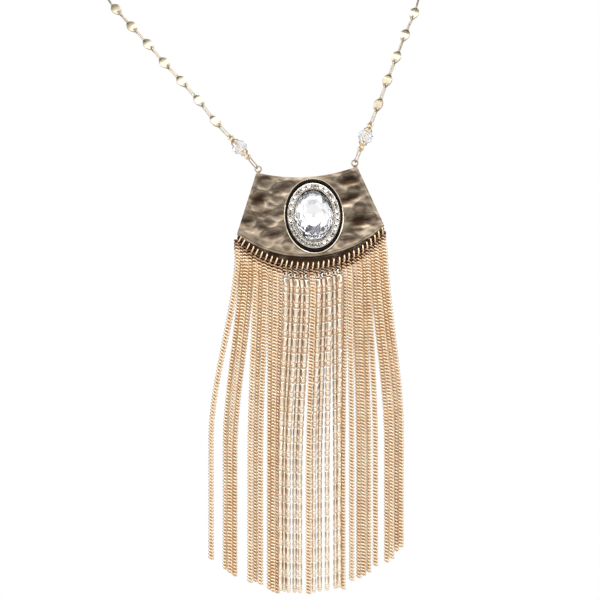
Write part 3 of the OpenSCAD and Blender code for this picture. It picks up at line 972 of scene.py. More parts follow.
    def eyes(self) -> list[Piece]:
        """The soldered ring at each top corner, with its blob of solder."""
        made = []
        radius = (self.eye_hole + self.eye_wire) / 2
        x = self.top_w / 2 - self.eye_in
        y = self.front(x) + self.thick / 2
        for side in Side:
            at = shift(side.value * x, y, radius + self.eye_up)
            ring = small_ring(radius, self.eye_wire, 40, 14)
            ring.data.transform(at)
            put_down()
            bpy.ops.mesh.primitive_uv_sphere_add(segments=20, ring_count=12, radius=self.thick * 0.45)
            blob = bpy.context.object
            blob.data.transform(at @ shift(0, 0, -radius) @ Matrix.Diagonal((*self.solder, 1)))
            made += [ring, blob]
        return made

    def tarnish(self, places: np.ndarray) -> np.ndarray:
        """How dark the brass is at places in the plate's own frame, from patina and painted shade.

        Args:
            places: rows of x, y, z.

        Returns:
            Shares from 0, bright, to 1, dark.
        """
        age = self.age
        x, y, z = places.T
        deep, hollow = y - self.bend(x), self.hollows(x, z)
        sunk = age.hollow * (1 - np.exp(-hollow / age.hollow_depth))
        behind = ease((deep - hollow - age.back_from) / age.back_width)
        right, start, width = age.right
        share = age.least + sunk * (1 - age.back_relief * behind) + right * ease((x - start) / width)
        above = -self.top_sag + self.top_r - np.sqrt(self.top_r ** 2 - x * x) - z
        top, reach, bright = age.top
        share += top * ease(1 - above / reach) * ease(above / bright)
        down = np.hypot(x, z - self.low_z) - self.low_r
        # Painted shade on the lip below the sheet's edge
        lip, width, past = age.lip
        share += lip * ease((down + width) / width) * (
            np.abs(np.arctan2(x, self.low_z - z)) < self.low_angle + past)
        corner, level, reach, lowest = age.corners
        share += corner * ease(reach - np.abs(z - level)) * (z > lowest)
        back, start = age.back
        share += back * ease((deep - start) / age.back_width)
        return np.clip(share, 0, 1)

    def build(self, brass: Finish) -> None:
        """Builds the plate and sets it in place.

        Args:
            brass: its finish.
        """
        sheet, lip = self.sheet(), self.lip()
        for part in (sheet, lip):
            smooth(part, 42)
        eyes = self.eyes()
        for part in eyes:
            smooth(part, 60)
        plate = joined([sheet, lip, *eyes], "hammered_plate")
        noted(plate.data, "tarnish", self.tarnish(places_of(plate)))
        settled(plate, "hammered_plate", brass, ["plate"], self.frame)


# Setting


@dataclass
class OvalSetting:
    """Gold rim, enamel band, halo seat with its prongs, bezel and the stones' foils."""

    plate: HammeredPlate
    width: float = 21.0
    height: float = 27.0
    rim_t: float = 0.45
    rim_h: float = 1.5
    floor: float = 0.35
    gap: float = 0.06
    enamel_w: float = 0.7
    enamel_extra: float = 0.55
    stone_w: float = 13.6
    stone_h: float = 18.0
    bezel_t: float = 0.35
    halo_n: int = 28
    halo_d: float = 1.85
    prong_d: float = 0.56
    # From the rim's top up to the halo's seat, from there to the main stone's girdle, and the
    # metal that is left under its foil
    seat_rise: float = 0.15
    girdle_rise: float = 0.75
    foil_room: float = 0.25
    # Painted shade on the seat, between the halo stones and inside the bezel: half width of the stones'
    # track as a share, share of shade inside the bezel, and the share of the hollow's size that counts
    # as inside
    shade_track: float = 0.04
    bezel_shade: float = 0.65
    bezel_inside: float = 1.006
    # Facets round the main foil, and the seed and span of their tones
    foil_steps: int = 16
    foil_seed: int = 16
    foil_tones: Pair = (0.55, 1.0)
    # Painted grey reflections in the main stone, set as tones of the foil's facets: shares of the size,
    # angles and tone
    painted_greys: tuple[tuple[float, float, float, float, float], ...] = (
        (0.40, 0.70, 236, 308, 0.0), (0.72, 0.85, 268, 318, 0.36), (0.66, 0.98, 28, 66, 0.14),
        (0.55, 0.75, 160, 196, 0.22), (0.75, 0.98, 70, 150, 0.42), (0.40, 0.55, 70, 120, 0.44))
    # Halo foils: seed, span of the facets' tones, share of the dark backs, which paint a dark reflected
    # speck into a stone, and tone of the bright ones
    halo_seed: int = 5
    halo_tones: Pair = (0.72, 1.0)
    halo_dark_specks: float = 0.42
    halo_bright: float = 0.9

    def __post_init__(self) -> None:
        """Works out the ovals and levels from the sizes."""
        self.enamel_out = self.grown((self.width, self.height), -2 * (self.rim_t + self.gap))
        self.seat = (self.enamel_out[0] - 2 * (self.enamel_w + self.gap),
                     self.enamel_out[1] - 2 * (self.enamel_w + self.enamel_extra + self.gap))
        self.hollow = self.grown((self.stone_w, self.stone_h), 4 * self.gap)
        self.bezel = self.grown(self.hollow, 2 * self.bezel_t)
        self.seat_top = self.rim_h + self.seat_rise
        self.girdle = self.seat_top + self.girdle_rise
        self.halo = ((self.seat[0] + self.bezel[0]) / 2, (self.seat[1] + self.bezel[1]) / 2)
        self.pavilion = self.girdle - self.floor - self.foil_room

    @staticmethod
    def grown(oval: Pair, by: float) -> Pair:
        """Width and height of an oval that is larger by that much both ways."""
        return oval[0] + by, oval[1] + by

    def halo_place(self, angle: float, out: float = 0.0) -> Pair:
        """Place on the halo's oval at an angle, moved outwards by that much."""
        return (self.halo[0] / 2 + out) * math.cos(angle), (self.halo[1] / 2 + out) * math.sin(angle)

    def halo_angles(self) -> np.ndarray:
        """Angles that space the halo stones evenly, in radians."""
        fine = np.radians(np.arange(0, 361, 2))
        line = np.stack([self.halo[0] / 2 * np.cos(fine), self.halo[1] / 2 * np.sin(fine)], 1)
        run = np.concatenate([[0], np.cumsum(np.linalg.norm(np.diff(line, axis=0), axis=1))])
        return np.interp(run[-1] * (np.arange(self.halo_n) + 0.5) / self.halo_n, run, fine)

    def rim(self) -> Piece:
        """The gold cup: floor and rounded rim."""
        whole, wall, top = (self.width, self.height), self.rim_t, self.rim_h
        # What the oval grows by and its level, up the outside, over the rim and down the inside
        steps = ((-0.3, 0.0), (0, 0.15), (0, top - 0.22), (-0.1, top - 0.06), (-0.32, top + 0.02),
                 (-1.5 * wall, top - 0.05), (-2 * wall, top - 0.22), (-2 * wall, self.floor))
        return oval_turning([(*self.grown(whole, by), level) for by, level in steps], 128, True)

    def bezel_and_seat(self) -> Piece:
        """The seat of the halo and the thin bezel of the main stone, with painted shade between the halo
        stones and inside the bezel.
        """
        top, lip = self.seat_top, self.girdle + 0.1
        # Oval, what it grows by and its level, from the outside in
        steps = (
            (self.seat, 0, self.floor - 0.1), (self.seat, 0, top - 0.2), (self.seat, -0.12, top - 0.04),
            (self.seat, -0.4, top), (self.halo, 0.7, top), (self.halo, 0, top), (self.halo, -0.7, top),
            (self.bezel, 0.3, top), (self.bezel, 0, top + 0.12), (self.bezel, 0, lip - 0.14),
            (self.bezel, -0.14, lip), (self.hollow, 0.1, lip), (self.hollow, 0, lip - 0.1),
            (self.hollow, 0, self.floor))
        seat = oval_turning([(*self.grown(oval, by), level) for oval, by, level in steps], 112, True)
        x, y, _ = places_of(seat).T
        aside = np.abs(np.hypot(2 * x / self.halo[0], 2 * y / self.halo[1]) - 1)
        inside = np.hypot(2 * x / self.hollow[0], 2 * y / self.hollow[1]) < self.bezel_inside
        # Painted shade between the halo stones and on the bezel's inside
        noted(seat.data, "shade", ease(1 - aside / self.shade_track) + self.bezel_shade * inside)
        return seat

    def prongs(self) -> Piece:
        """The little ball-topped prongs between the halo stones."""
        put_down()
        bpy.ops.mesh.primitive_cylinder_add(vertices=12, radius=self.prong_d / 2, depth=1.0)
        prong = bpy.context.object
        pick(prong, lambda p: p[:, 2] > 0)
        bpy.ops.transform.translate(value=(0, 0, 0.4))
        bpy.ops.mesh.bevel(offset=0.16, segments=3, affect="EDGES")
        put_down()
        smooth(prong, 70)
        angles = self.halo_angles()
        reach = (self.seat[0] - self.halo[0]) / 2 - self.prong_d / 2 - 0.05
        spots = []
        for this, following in zip(angles, np.append(angles[1:], angles[0] + 2 * math.pi)):
            for side in (-1, 1):
                place = self.halo_place((this + following) / 2, side * reach)
                spots.append(shift(*place, self.seat_top - 0.15))
        return copies(prong, spots, "prongs")

    def enamel_band(self) -> Piece:
        """The domed band of black enamel."""
        (ow, oh), (iw, ih) = self.enamel_out, self.grown(self.seat, 2 * self.gap)
        top = self.rim_h - 0.15
        # Eighths of the way inwards and level, over the dome and down again
        steps = ((0, self.floor), (0, top - 0.15), (1, top - 0.02), (4, top + 0.05), (7, top - 0.02),
                 (8, top - 0.15), (8, self.floor))
        rows = [(ow + (iw - ow) * k / 8, oh + (ih - oh) * k / 8, level) for k, level in steps]
        return oval_turning(rows, 128, False)

    def main_foil(self) -> Piece:
        """The foil under the main stone's pavilion, a hair inside its facets."""
        front, mid, back = -0.24, -self.pavilion * 0.5, -self.pavilion + 0.05
        # Level, share of the stone's size and half steps of turn
        rows = [(front, 0.985, 2), ((mid + front) / 2, 0.79, 1), (mid, 0.60, 0),
                (mid + (back - mid) * 0.33, 0.44, 1), (back, 0.11, 0)]
        foil = self.faceted(rows, self.foil_steps, self.stone_w, self.stone_h)
        faces = foil.data.polygons
        tones = np.random.default_rng(self.foil_seed).uniform(*self.foil_tones, len(faces))
        for k, face in enumerate(faces):
            x, y = face.center.x / (self.stone_w / 2), face.center.y / (self.stone_h / 2)
            share, angle = math.hypot(x, y), math.degrees(math.atan2(y, x)) % 360
            # Painted grey reflections on the facets that lie in these sectors
            for near, far, start, end, tone in self.painted_greys:
                if near <= share <= far and start <= angle <= end:
                    tones[k] = tone
        noted(foil.data, "facet", tones, "FACE")
        return foil

    @staticmethod
    def faceted(rows: Sequence[Triple], steps: int, width: float, height: float) -> Piece:
        """Open faceted bowl that looks forward.

        Args:
            rows: level, share of the size and half steps of turn, from the front to the back.
            steps: facets round the bowl.
            width: full width.
            height: full height.

        Returns:
            The bowl.
        """
        places: list[Triple] = []
        for level, share, turn in rows:
            for k in range(steps):
                a = (k + turn / 2) * 2 * math.pi / steps
                places.append((share * width / 2 * math.cos(a), share * height / 2 * math.sin(a), level))
        faces: list[tuple[int, ...]] = []
        for j in range(len(rows) - 1):
            for k in range(steps):
                a, b = j * steps + k, j * steps + (k + 1) % steps
                faces += [(a, b + steps, a + steps), (a, b, b + steps)]
        last = (len(rows) - 1) * steps
        faces.append(tuple(last + k for k in range(steps)))
        mesh = bpy.data.meshes.new("foil")
        mesh.from_pydata(places, [], faces)
        mesh.update()
        return placed("foil", mesh)

    def halo_foils(self) -> Piece:
        """The foil in the back of each halo stone, some with a dark back that paints a dark reflected
        speck.
        """
        cup = self.faceted([(0.27, 0.93, 0), (0.04, 0.46, 0)], 8, self.halo_d, self.halo_d)
        spots = [shift(*self.halo_place(a), 0) @ Matrix.Rotation(a, 4, "Z") for a in self.halo_angles()]
        cups = copies(cup, spots, "halo_foil")
        count = len(spots)
        rng = np.random.default_rng(self.halo_seed)
        tones = rng.uniform(*self.halo_tones, (count, len(cups.data.polygons) // count))
        # Painted dark specks: the flat back of some stones' foils is set black
        tones[:, -1] = np.where(rng.random(count) < self.halo_dark_specks, 0.0, self.halo_bright)
        noted(cups.data, "facet", tones.reshape(-1), "FACE")
        return cups

    def build(self, gold: Finish, seat_metal: Finish, enamel: Finish, crystal: Finish,
              rhinestone: Finish, foil: Finish, halo_foil: Finish) -> None:
        """Builds the setting on the plate's face.

        Args:
            gold: finish of the rim.
            seat_metal: finish of the seat, the bezel and the prongs.
            enamel: finish of the band.
            crystal: finish of the main stone.
            rhinestone: finish of the halo stones.
            foil: finish under the main stone.
            halo_foil: finish under the halo stones.
        """
        def level(height: float) -> Matrix:
            """Frame on the plate's face, that far out."""
            return self.plate.face @ shift(0, 0, height)

        rim, seat, band = self.rim(), self.bezel_and_seat(), self.enamel_band()
        for part, angle in ((rim, 35), (seat, 35), (band, 50)):
            smooth(part, angle)
        seat = joined([seat, self.prongs()], "pale_seat")
        settled(rim, "gold_rim", gold, ["setting"], level(self.gap))
        settled(seat, "pale_seat", seat_metal, ["setting"], level(self.gap))
        settled(band, "enamel_band", enamel, ["enamel"], level(2 * self.gap))
        dress("main_stone", crystal)
        dress("halo_stones", rhinestone)
        deep, shallow = self.gap + self.girdle, 2 * self.gap + self.seat_top
        settled(self.main_foil(), "main_stone_foil", foil, (), level(deep))
        settled(self.halo_foils(), "halo_stone_foil", halo_foil, (), level(shallow))


# Fringe


@dataclass
class Fringe:
    """Thirty-one fine strands that hang from the jump rings."""

    plate: HammeredPlate
    drop: float = 149.0
    middle: tuple[int, int] = (10, 20)
    curb_w: float = 2.3
    curb_wire: float = 0.62
    curb_l: float = 1.7
    curb_pitch: float = 1.12
    curb_lean: float = 58.0
    curb_slant: float = 27.0
    # Painted shade on a link's inner side, where its wires hide each other: share, and where it starts
    # and how far it takes
    curb_inner_shade: Triple = (0.30, 0.56, 0.6)
    first_curb: float = -1.2
    # How dark the top links are, a copper tone with painted shade under the rings, what each next one
    # loses, and the most that the others have at random
    top_copper_and_shade: float = 0.95
    top_copper_and_shade_step: float = 0.3
    tone_spread: float = 0.12
    bar_w: float = 1.96
    bar_l: float = 2.8
    bar_pitch: float = 5.2
    bar_t: float = 1.0
    bar_bevel: float = 0.42
    # Painted shade on a bar's sides, where they turn away: share, and where it starts across the bar and
    # how far it takes to come
    bar_side_shade: Triple = (0.72, 0.36, 0.28)
    first_bar: float = 2.9
    # Least room below the last bar, and below the middle of the last loop
    bar_room: float = 2.8
    loop_room: float = 1.6
    # Outer width, outer length and wire of the loops and of the dots between the bars
    loop: Triple = (1.94, 2.9, 0.86)
    dot: Triple = (1.10, 1.44, 0.52)
    # Painted shade on the loops, the brown between the strands: how dark they are at the top, and what
    # they lose down to the foot
    loop_shade: Pair = (0.66, 0.50)
    # Links above the first bar of a strand: their drops and how dark they are, a copper tone with
    # painted shade under the rings
    first_links: tuple[float, ...] = (-1.2, -0.3, 0.6, 1.6, 2.5)
    first_shade: tuple[float, ...] = (0.95, 0.85, 0.7, 0.9, 0.75)
    # Crossed links behind the head of every strand, dark with painted shade in the gaps under the rings:
    # how dark they are and how far back they stand
    head_shade: float = 0.88
    head_back: float = 0.45
    # Ring over the first bar: radius, wire, how far above the bar, and most that it turns
    top_ring: tuple[float, float, float, float] = (0.62, 0.58, 1.1, 0.5)
    # Most that a bar turns about its strand, and the wave's steps for each strand and each bar
    bar_turn: Triple = (0.35, 1.7, 0.9)
    # Shares of the bars' turn that the loops and the dots have, and how far forward the dots stand
    loop_turn: float = 0.4
    dot_turn: float = 0.5
    dot_front: float = 0.3
    # Share of their width that links gain at the top, down to what drop, and over how long a way
    packing: Triple = (0.16, 46.0, 26.0)
    # Share of its width that a barred strand loses, from what drop on, and over how long a way
    slimming: Triple = (0.18, 38.0, 45.0)
    # How far every other strand stands back or forward, and the middle one forward
    aside: float = 0.55
    centre_out: float = 1.3
    # Shares of the drop in which a strand reaches its foot's place and its own depth
    foot_share: float = 0.62
    aside_share: float = 0.05
    # From the foot of a ring to a strand's start, and how far aside and for how long it starts
    ring_reach: float = 0.685
    ring_shift: float = 0.42
    ring_fade: float = 7.0
    ring_tilt: float = 12.0
    ring_turn: float = 17.0
    # Most that a ring's tilt and turn differ from the others', in degrees
    ring_play: Pair = (4.0, 9.0)
    ring_seed: int = 7
    ring_follow: float = 0.4
    # First seeds of the strands' sway and of the links' tones, one more for each strand
    sway_seed: int = 100
    tone_seed: int = 300
    # Sway of a curb strand: spans of its start, waves, reach and rest, in radians, and its length
    sway_spans: tuple[Pair, ...] = ((0, 6.28), (1.2, 3.0), (0.05, 0.3), (-0.2, 0.2))
    sway_length: float = 30.0
    # Places of the feet across, from that far to the right of the plate's middle
    feet_x: float = 1.0
    feet: tuple[float, ...] = (
        -34.5, -29.5, -27.8, -26.2, -20.8, -19, -17.2, -14, -12.7, -11.4, -10.2, -8.9, -7.4, -5.2, -3.4,
        -0.4, 1.5, 3.5, 6.1, 9.1, 10.3, 11.6, 14.7, 17.2, 18.9, 20.6, 23, 27, 28.7, 30.4, 32)
    # Share of the drop that the hem reaches, at places across
    hem: tuple[Pair, ...] = (
        (-35, 0.922), (-29.5, 0.950), (-26.2, 0.965), (-20.8, 0.978), (-17.2, 0.985),
        (-13.5, 1.0), (-9, 1.004), (8, 1.004), (11, 0.995), (14.7, 0.979),
        (18.9, 0.964), (23, 0.945), (27, 0.935), (30.4, 0.911), (32, 0.895))

    @property
    def centre(self) -> int:
        """Number of the strand in the very middle, a curb chain in front of its neighbours."""
        return (self.plate.strands - 1) // 2

    def kind(self, index: int) -> StrandKind:
        """Kind of a strand: bars in the middle group, and curb outside it and at its centre.

        Args:
            index: number of the strand, from the left.

        Returns:
            The kind.
        """
        first, last = self.middle
        inside = first <= index <= last and index != self.centre
        return StrandKind.BARS if inside else StrandKind.CURB

    def ring_depth(self, x: float) -> float:
        """Depth of the middle of the lip at a place across, in the plate's frame."""
        return self.plate.front(x) + self.plate.lip_back + self.plate.lip_thick / 2

    def top(self, index: int) -> Vector:
        """Place where a strand starts under its jump ring.

        Args:
            index: number of the strand.

        Returns:
            The place, in millimetres.
        """
        plate = self.plate
        angle = plate.ring_angle(index)
        x, z = plate.row_place(plate.hole_r, angle)
        reach, hang = 2 * plate.ring_r + self.ring_reach, angle * self.ring_follow
        x, z = x + reach * math.sin(hang), z - reach * math.cos(hang)
        return plate.frame @ Vector((x, self.ring_depth(x), z))

    def full(self, index: int) -> float:
        """Drop of a strand from its top to its foot."""
        share = float(np.interp(self.feet[index], *zip(*self.hem)))
        return self.top(index).z - (self.plate.place.z - self.drop * share)

    def at(self, index: int, drop: float) -> Vector:
        """Place on a strand.

        Args:
            index: number of the strand.
            drop: how far below its top.

        Returns:
            The place, in millimetres.
        """
        top, share = self.top(index), drop / self.full(index)
        foot = self.plate.place.x + self.feet_x + self.feet[index]
        out = self.aside if index % 2 else -self.aside
        if index == self.centre:
            out = -self.centre_out
        x = (top.x + (foot - top.x) * float(ease(share / self.foot_share))
             - self.ring_shift * float(ease(1 - drop / self.ring_fade)))
        return Vector((x, top.y + out * float(ease(share / self.aside_share)), top.z - drop))

    def spot(self, index: int, run: float, turn: float) -> Matrix:
        """Frame of a link on a strand, with Z up the strand.

        Args:
            index: number of the strand.
            run: drop of the link's middle below the top.
            turn: turn about the strand, in radians.

        Returns:
            The frame.
        """
        half = 0.6
        above, below = self.at(index, run - half), self.at(index, run + half)
        up = (above - below).normalized()
        side = Vector((0, -1, 0)).cross(up).normalized() * -1
        basis = Matrix((side, up.cross(side), up)).transposed().to_4x4()
        return Matrix.Translation(self.at(index, run)) @ basis @ Matrix.Rotation(turn, 4, "Z")

    def spread(self, run: float) -> Matrix:
        """Widening of the links near the top, where the strands hang packed."""
        more, end, length = self.packing
        return Matrix.Diagonal((1 + more * float(ease((end - run) / length)), 1, 1, 1))

    def slim(self, run: float) -> Matrix:
        """Narrowing of a barred strand lower down."""
        less, start, length = self.slimming
        return Matrix.Diagonal((1 - less * float(ease((run - start) / length)), 1, 1, 1))

    def curb_link(self) -> Piece:
        """One link of curb chain: a ring that leans forwards and lies aslant, bright in front, with
        painted shade on the inner side of its wire.
        """
        link = long_ring(self.curb_w, self.curb_l, self.curb_wire, 12, 6)
        link.data.transform(Matrix.Rotation(math.radians(self.curb_slant), 4, "Y")
                            @ Matrix.Rotation(math.radians(self.curb_lean), 4, "X"))
        smooth(link, 80)
        # Painted shade on the sides of the wire that face into the link
        outward = np.array([v.normal.y * math.copysign(1, v.co.y) for v in link.data.vertices])
        dark, start, width = self.curb_inner_shade
        noted(link.data, "shade", dark * ease((start - outward) / width))
        return link

    def sway(self, index: int, run: float) -> float:
        """Slow turn of a chain about itself.

        Args:
            index: number of the strand.
            run: drop below its top.

        Returns:
            The turn, in radians.
        """
        rng = np.random.default_rng(self.sway_seed + index)
        start, waves, reach, rest = (rng.uniform(*span) for span in self.sway_spans)
        return rest + reach * math.sin(start + waves * run / self.sway_length)

    def curb_runs(self, index: int) -> list[float]:
        """Drops of the middles of a curb strand's links."""
        count = int(self.full(index) / self.curb_pitch) + 1
        return [self.first_curb + k * self.curb_pitch for k in range(count)]

    def curb_spots(self, index: int) -> list[Matrix]:
        """Frames of every link of a curb strand, from the top down."""
        return [self.spot(index, run, self.sway(index, run)) @ self.spread(run)
                for run in self.curb_runs(index)]

    def curb_shades(self, index: int) -> list[float]:
        """How dark every link of a curb strand is: the first ones are copper brown with painted shade,
        the others a little at random.

        Args:
            index: number of the strand.

        Returns:
            Shares from 0 to 1, from the top down.
        """
        rng = np.random.default_rng(self.tone_seed + index)
        # Painted shade with a copper tone on the first links under the rings
        return [max(rng.uniform(0, self.tone_spread), self.top_copper_and_shade - self.top_copper_and_shade_step * k)
                for k in range(len(self.curb_runs(index)))]

    def head_spots(self, index: int) -> list[Matrix]:
        """Frames of the crossed links behind the head of a strand.

        Args:
            index: number of the strand.

        Returns:
            The frames, from the top down.
        """
        crossed = shift(0, self.head_back, 0) @ Matrix.Rotation(math.pi, 4, "Z")
        count = 4 if self.kind(index) is StrandKind.BARS else 3
        return [self.spot(index, k - 1.0, 0.0) @ crossed for k in range(count)]

    def bar(self) -> Piece:
        """One pressed bar with its round ends and painted shade on its sides."""
        put_down()
        bpy.ops.mesh.primitive_cylinder_add(vertices=18, radius=self.bar_w / 2, depth=self.bar_l)
        bar = bpy.context.object
        for sign in (-1, 1):
            pick(bar, lambda p, s=sign: p[:, 2] * s > self.bar_l / 2 - 1e-4)
            bpy.ops.mesh.bevel(offset=self.bar_bevel, segments=3, affect="EDGES")
            put_down()
        pick(bar, lambda p: np.ones(len(p)))
        bpy.ops.transform.resize(value=(1, self.bar_t / self.bar_w, 1))
        put_down()
        # Painted shade on the sides of the bar
        dark, start, width = self.bar_side_shade
        aside = np.abs(places_of(bar)[:, 0]) / (self.bar_w / 2)
        noted(bar.data, "shade", dark * ease((aside - start) / width))
        smooth(bar, 50)
        return bar

    def bar_runs(self, index: int) -> list[float]:
        """Drops of the middles of a strand's bars."""
        count = int((self.full(index) - self.bar_l - self.bar_room) // self.bar_pitch) + 1
        return [self.first_bar + self.bar_l / 2 + k * self.bar_pitch for k in range(count)]

    def bar_parts(self, strands: Sequence[int]) -> list[Piece]:
        """Bars, the dots and loops between them, and the small rings at the tops.

        Args:
            strands: numbers of the barred strands.

        Returns:
            The copies of each pattern.
        """
        bars, loops, dots, rings, links, dark = [], [], [], [], [], []
        front = shift(0, -self.dot_front, 0)
        most, loss = self.loop_shade
        swing, by_strand, by_bar = self.bar_turn
        radius, wire, up, play = self.top_ring
        for i in strands:
            runs = self.bar_runs(i)
            for k, run in enumerate(runs):
                turn = swing * math.sin(by_strand * i + by_bar * k)
                slim, mid = self.slim(run), run + self.bar_pitch / 2
                bars.append(self.spot(i, run, turn) @ slim)
                if k + 1 < len(runs) or mid + self.loop_room < self.full(i):
                    loops.append(self.spot(i, mid, self.loop_turn * turn) @ slim @ self.spread(run))
                    # Painted shade on the loop, lighter lower down
                    dark.append(most - loss * float(ease(run / self.drop)))
                    dots.append(self.spot(i, mid, self.dot_turn * turn) @ front @ slim)
            rings.append(self.spot(i, self.first_bar - up, play * math.sin(2.3 * i)) @ front)
            # Links under the ring, dark with painted shade and a copper tone
            links += [self.spot(i, run, 0.0) for run in self.first_links]
        loop, dot = long_ring(*self.loop, 14, 6), long_ring(*self.dot, 12, 6)
        ring = small_ring(radius, wire, 20, 8)
        for part in (loop, dot, ring):
            smooth(part, 80)
        return [copies(self.bar(), bars, "bars"), copies(loop, loops, "loops", dark),
                copies(dot, dots, "dots"), copies(ring, rings, "rings"),
                copies(self.curb_link(), links, "links", self.first_shade * len(strands))]

    def group(self, name: str, strands: Sequence[int], finish: Finish, node: str) -> None:
        """Builds one group of strands as a piece.

        Args:
            name: the piece's name.
            strands: numbers of its strands.
            finish: material.
            node: solid that it stands for.
        """
        curb = [i for i in strands if self.kind(i) is StrandKind.CURB]
        barred = [i for i in strands if self.kind(i) is StrandKind.BARS]
        parts = []
        if curb:
            spots = [spot for i in curb for spot in self.curb_spots(i)]
            shades = [shade for i in curb for shade in self.curb_shades(i)]
            parts.append(copies(self.curb_link(), spots, name, shades))
        if barred:
            parts += self.bar_parts(barred)
        heads = [spot for i in strands for spot in self.head_spots(i)]
        # Painted shade: the crossed links fill the gaps under the rings with dark brown
        parts.append(copies(self.curb_link(), heads, name, self.head_shade))
        settled(joined(parts, name), name, finish, [node])

    def jump_rings(self, finish: Finish) -> None:
        """The ring in each hole of the lip, hung a little askew.

        Args:
            finish: its material.
        """
        plate, spots = self.plate, []
        rng = np.random.default_rng(self.ring_seed)
        tilt_play, turn_play = self.ring_play
        for index in range(plate.strands):
            angle = plate.ring_angle(index)
            x, z = plate.row_place(plate.hole_r, angle)
            tilt = math.radians(self.ring_tilt + rng.uniform(-tilt_play, tilt_play))
            turn = math.radians(90 + self.ring_turn + rng.uniform(-turn_play, turn_play))
            spots.append(shift(x, self.ring_depth(x), z)
                         @ Matrix.Rotation(tilt - self.ring_follow * angle, 4, "Y")
                         @ Matrix.Rotation(turn, 4, "Z")
                         @ shift(0, 0, plate.hole_rise / 2 - plate.ring_r))
        width = 2 * plate.ring_r + plate.ring_wire
        ring = long_ring(width, width + plate.hole_rise, plate.ring_wire, 28, 10)
        smooth(ring, 80)
        rings = copies(ring, spots, "jump_rings")
        settled(rings, "jump_rings", finish, ["fringe_rings"], plate.frame)

    def build(self, rose: Finish, pale: Finish, rings: Finish) -> None:
        """Builds the jump rings and the groups of strands.

        Args:
            rose: finish of the curb strands.
            pale: finish of the barred strands.
            rings: finish of the jump rings.
        """
        self.jump_rings(rings)
        first, last = self.middle
        barred = [i for i in range(first, last + 1) if i != self.centre]
        right = range(last + 1, self.plate.strands)
        for name, strands, finish, slot, node in (
                ("curb_strands_left", range(first), rose, "rose_gold_chain", "fringe_left"),
                ("barred_strands", barred, pale, "champagne_chain", "fringe_middle"),
                ("middle_curb_strand", [self.centre], rose, "rose_gold_chain", "fringe_middle"),
                ("curb_strands_right", right, rose, "rose_gold_chain", "fringe_right")):
            self.group(name, strands, finish, node)


# Studio


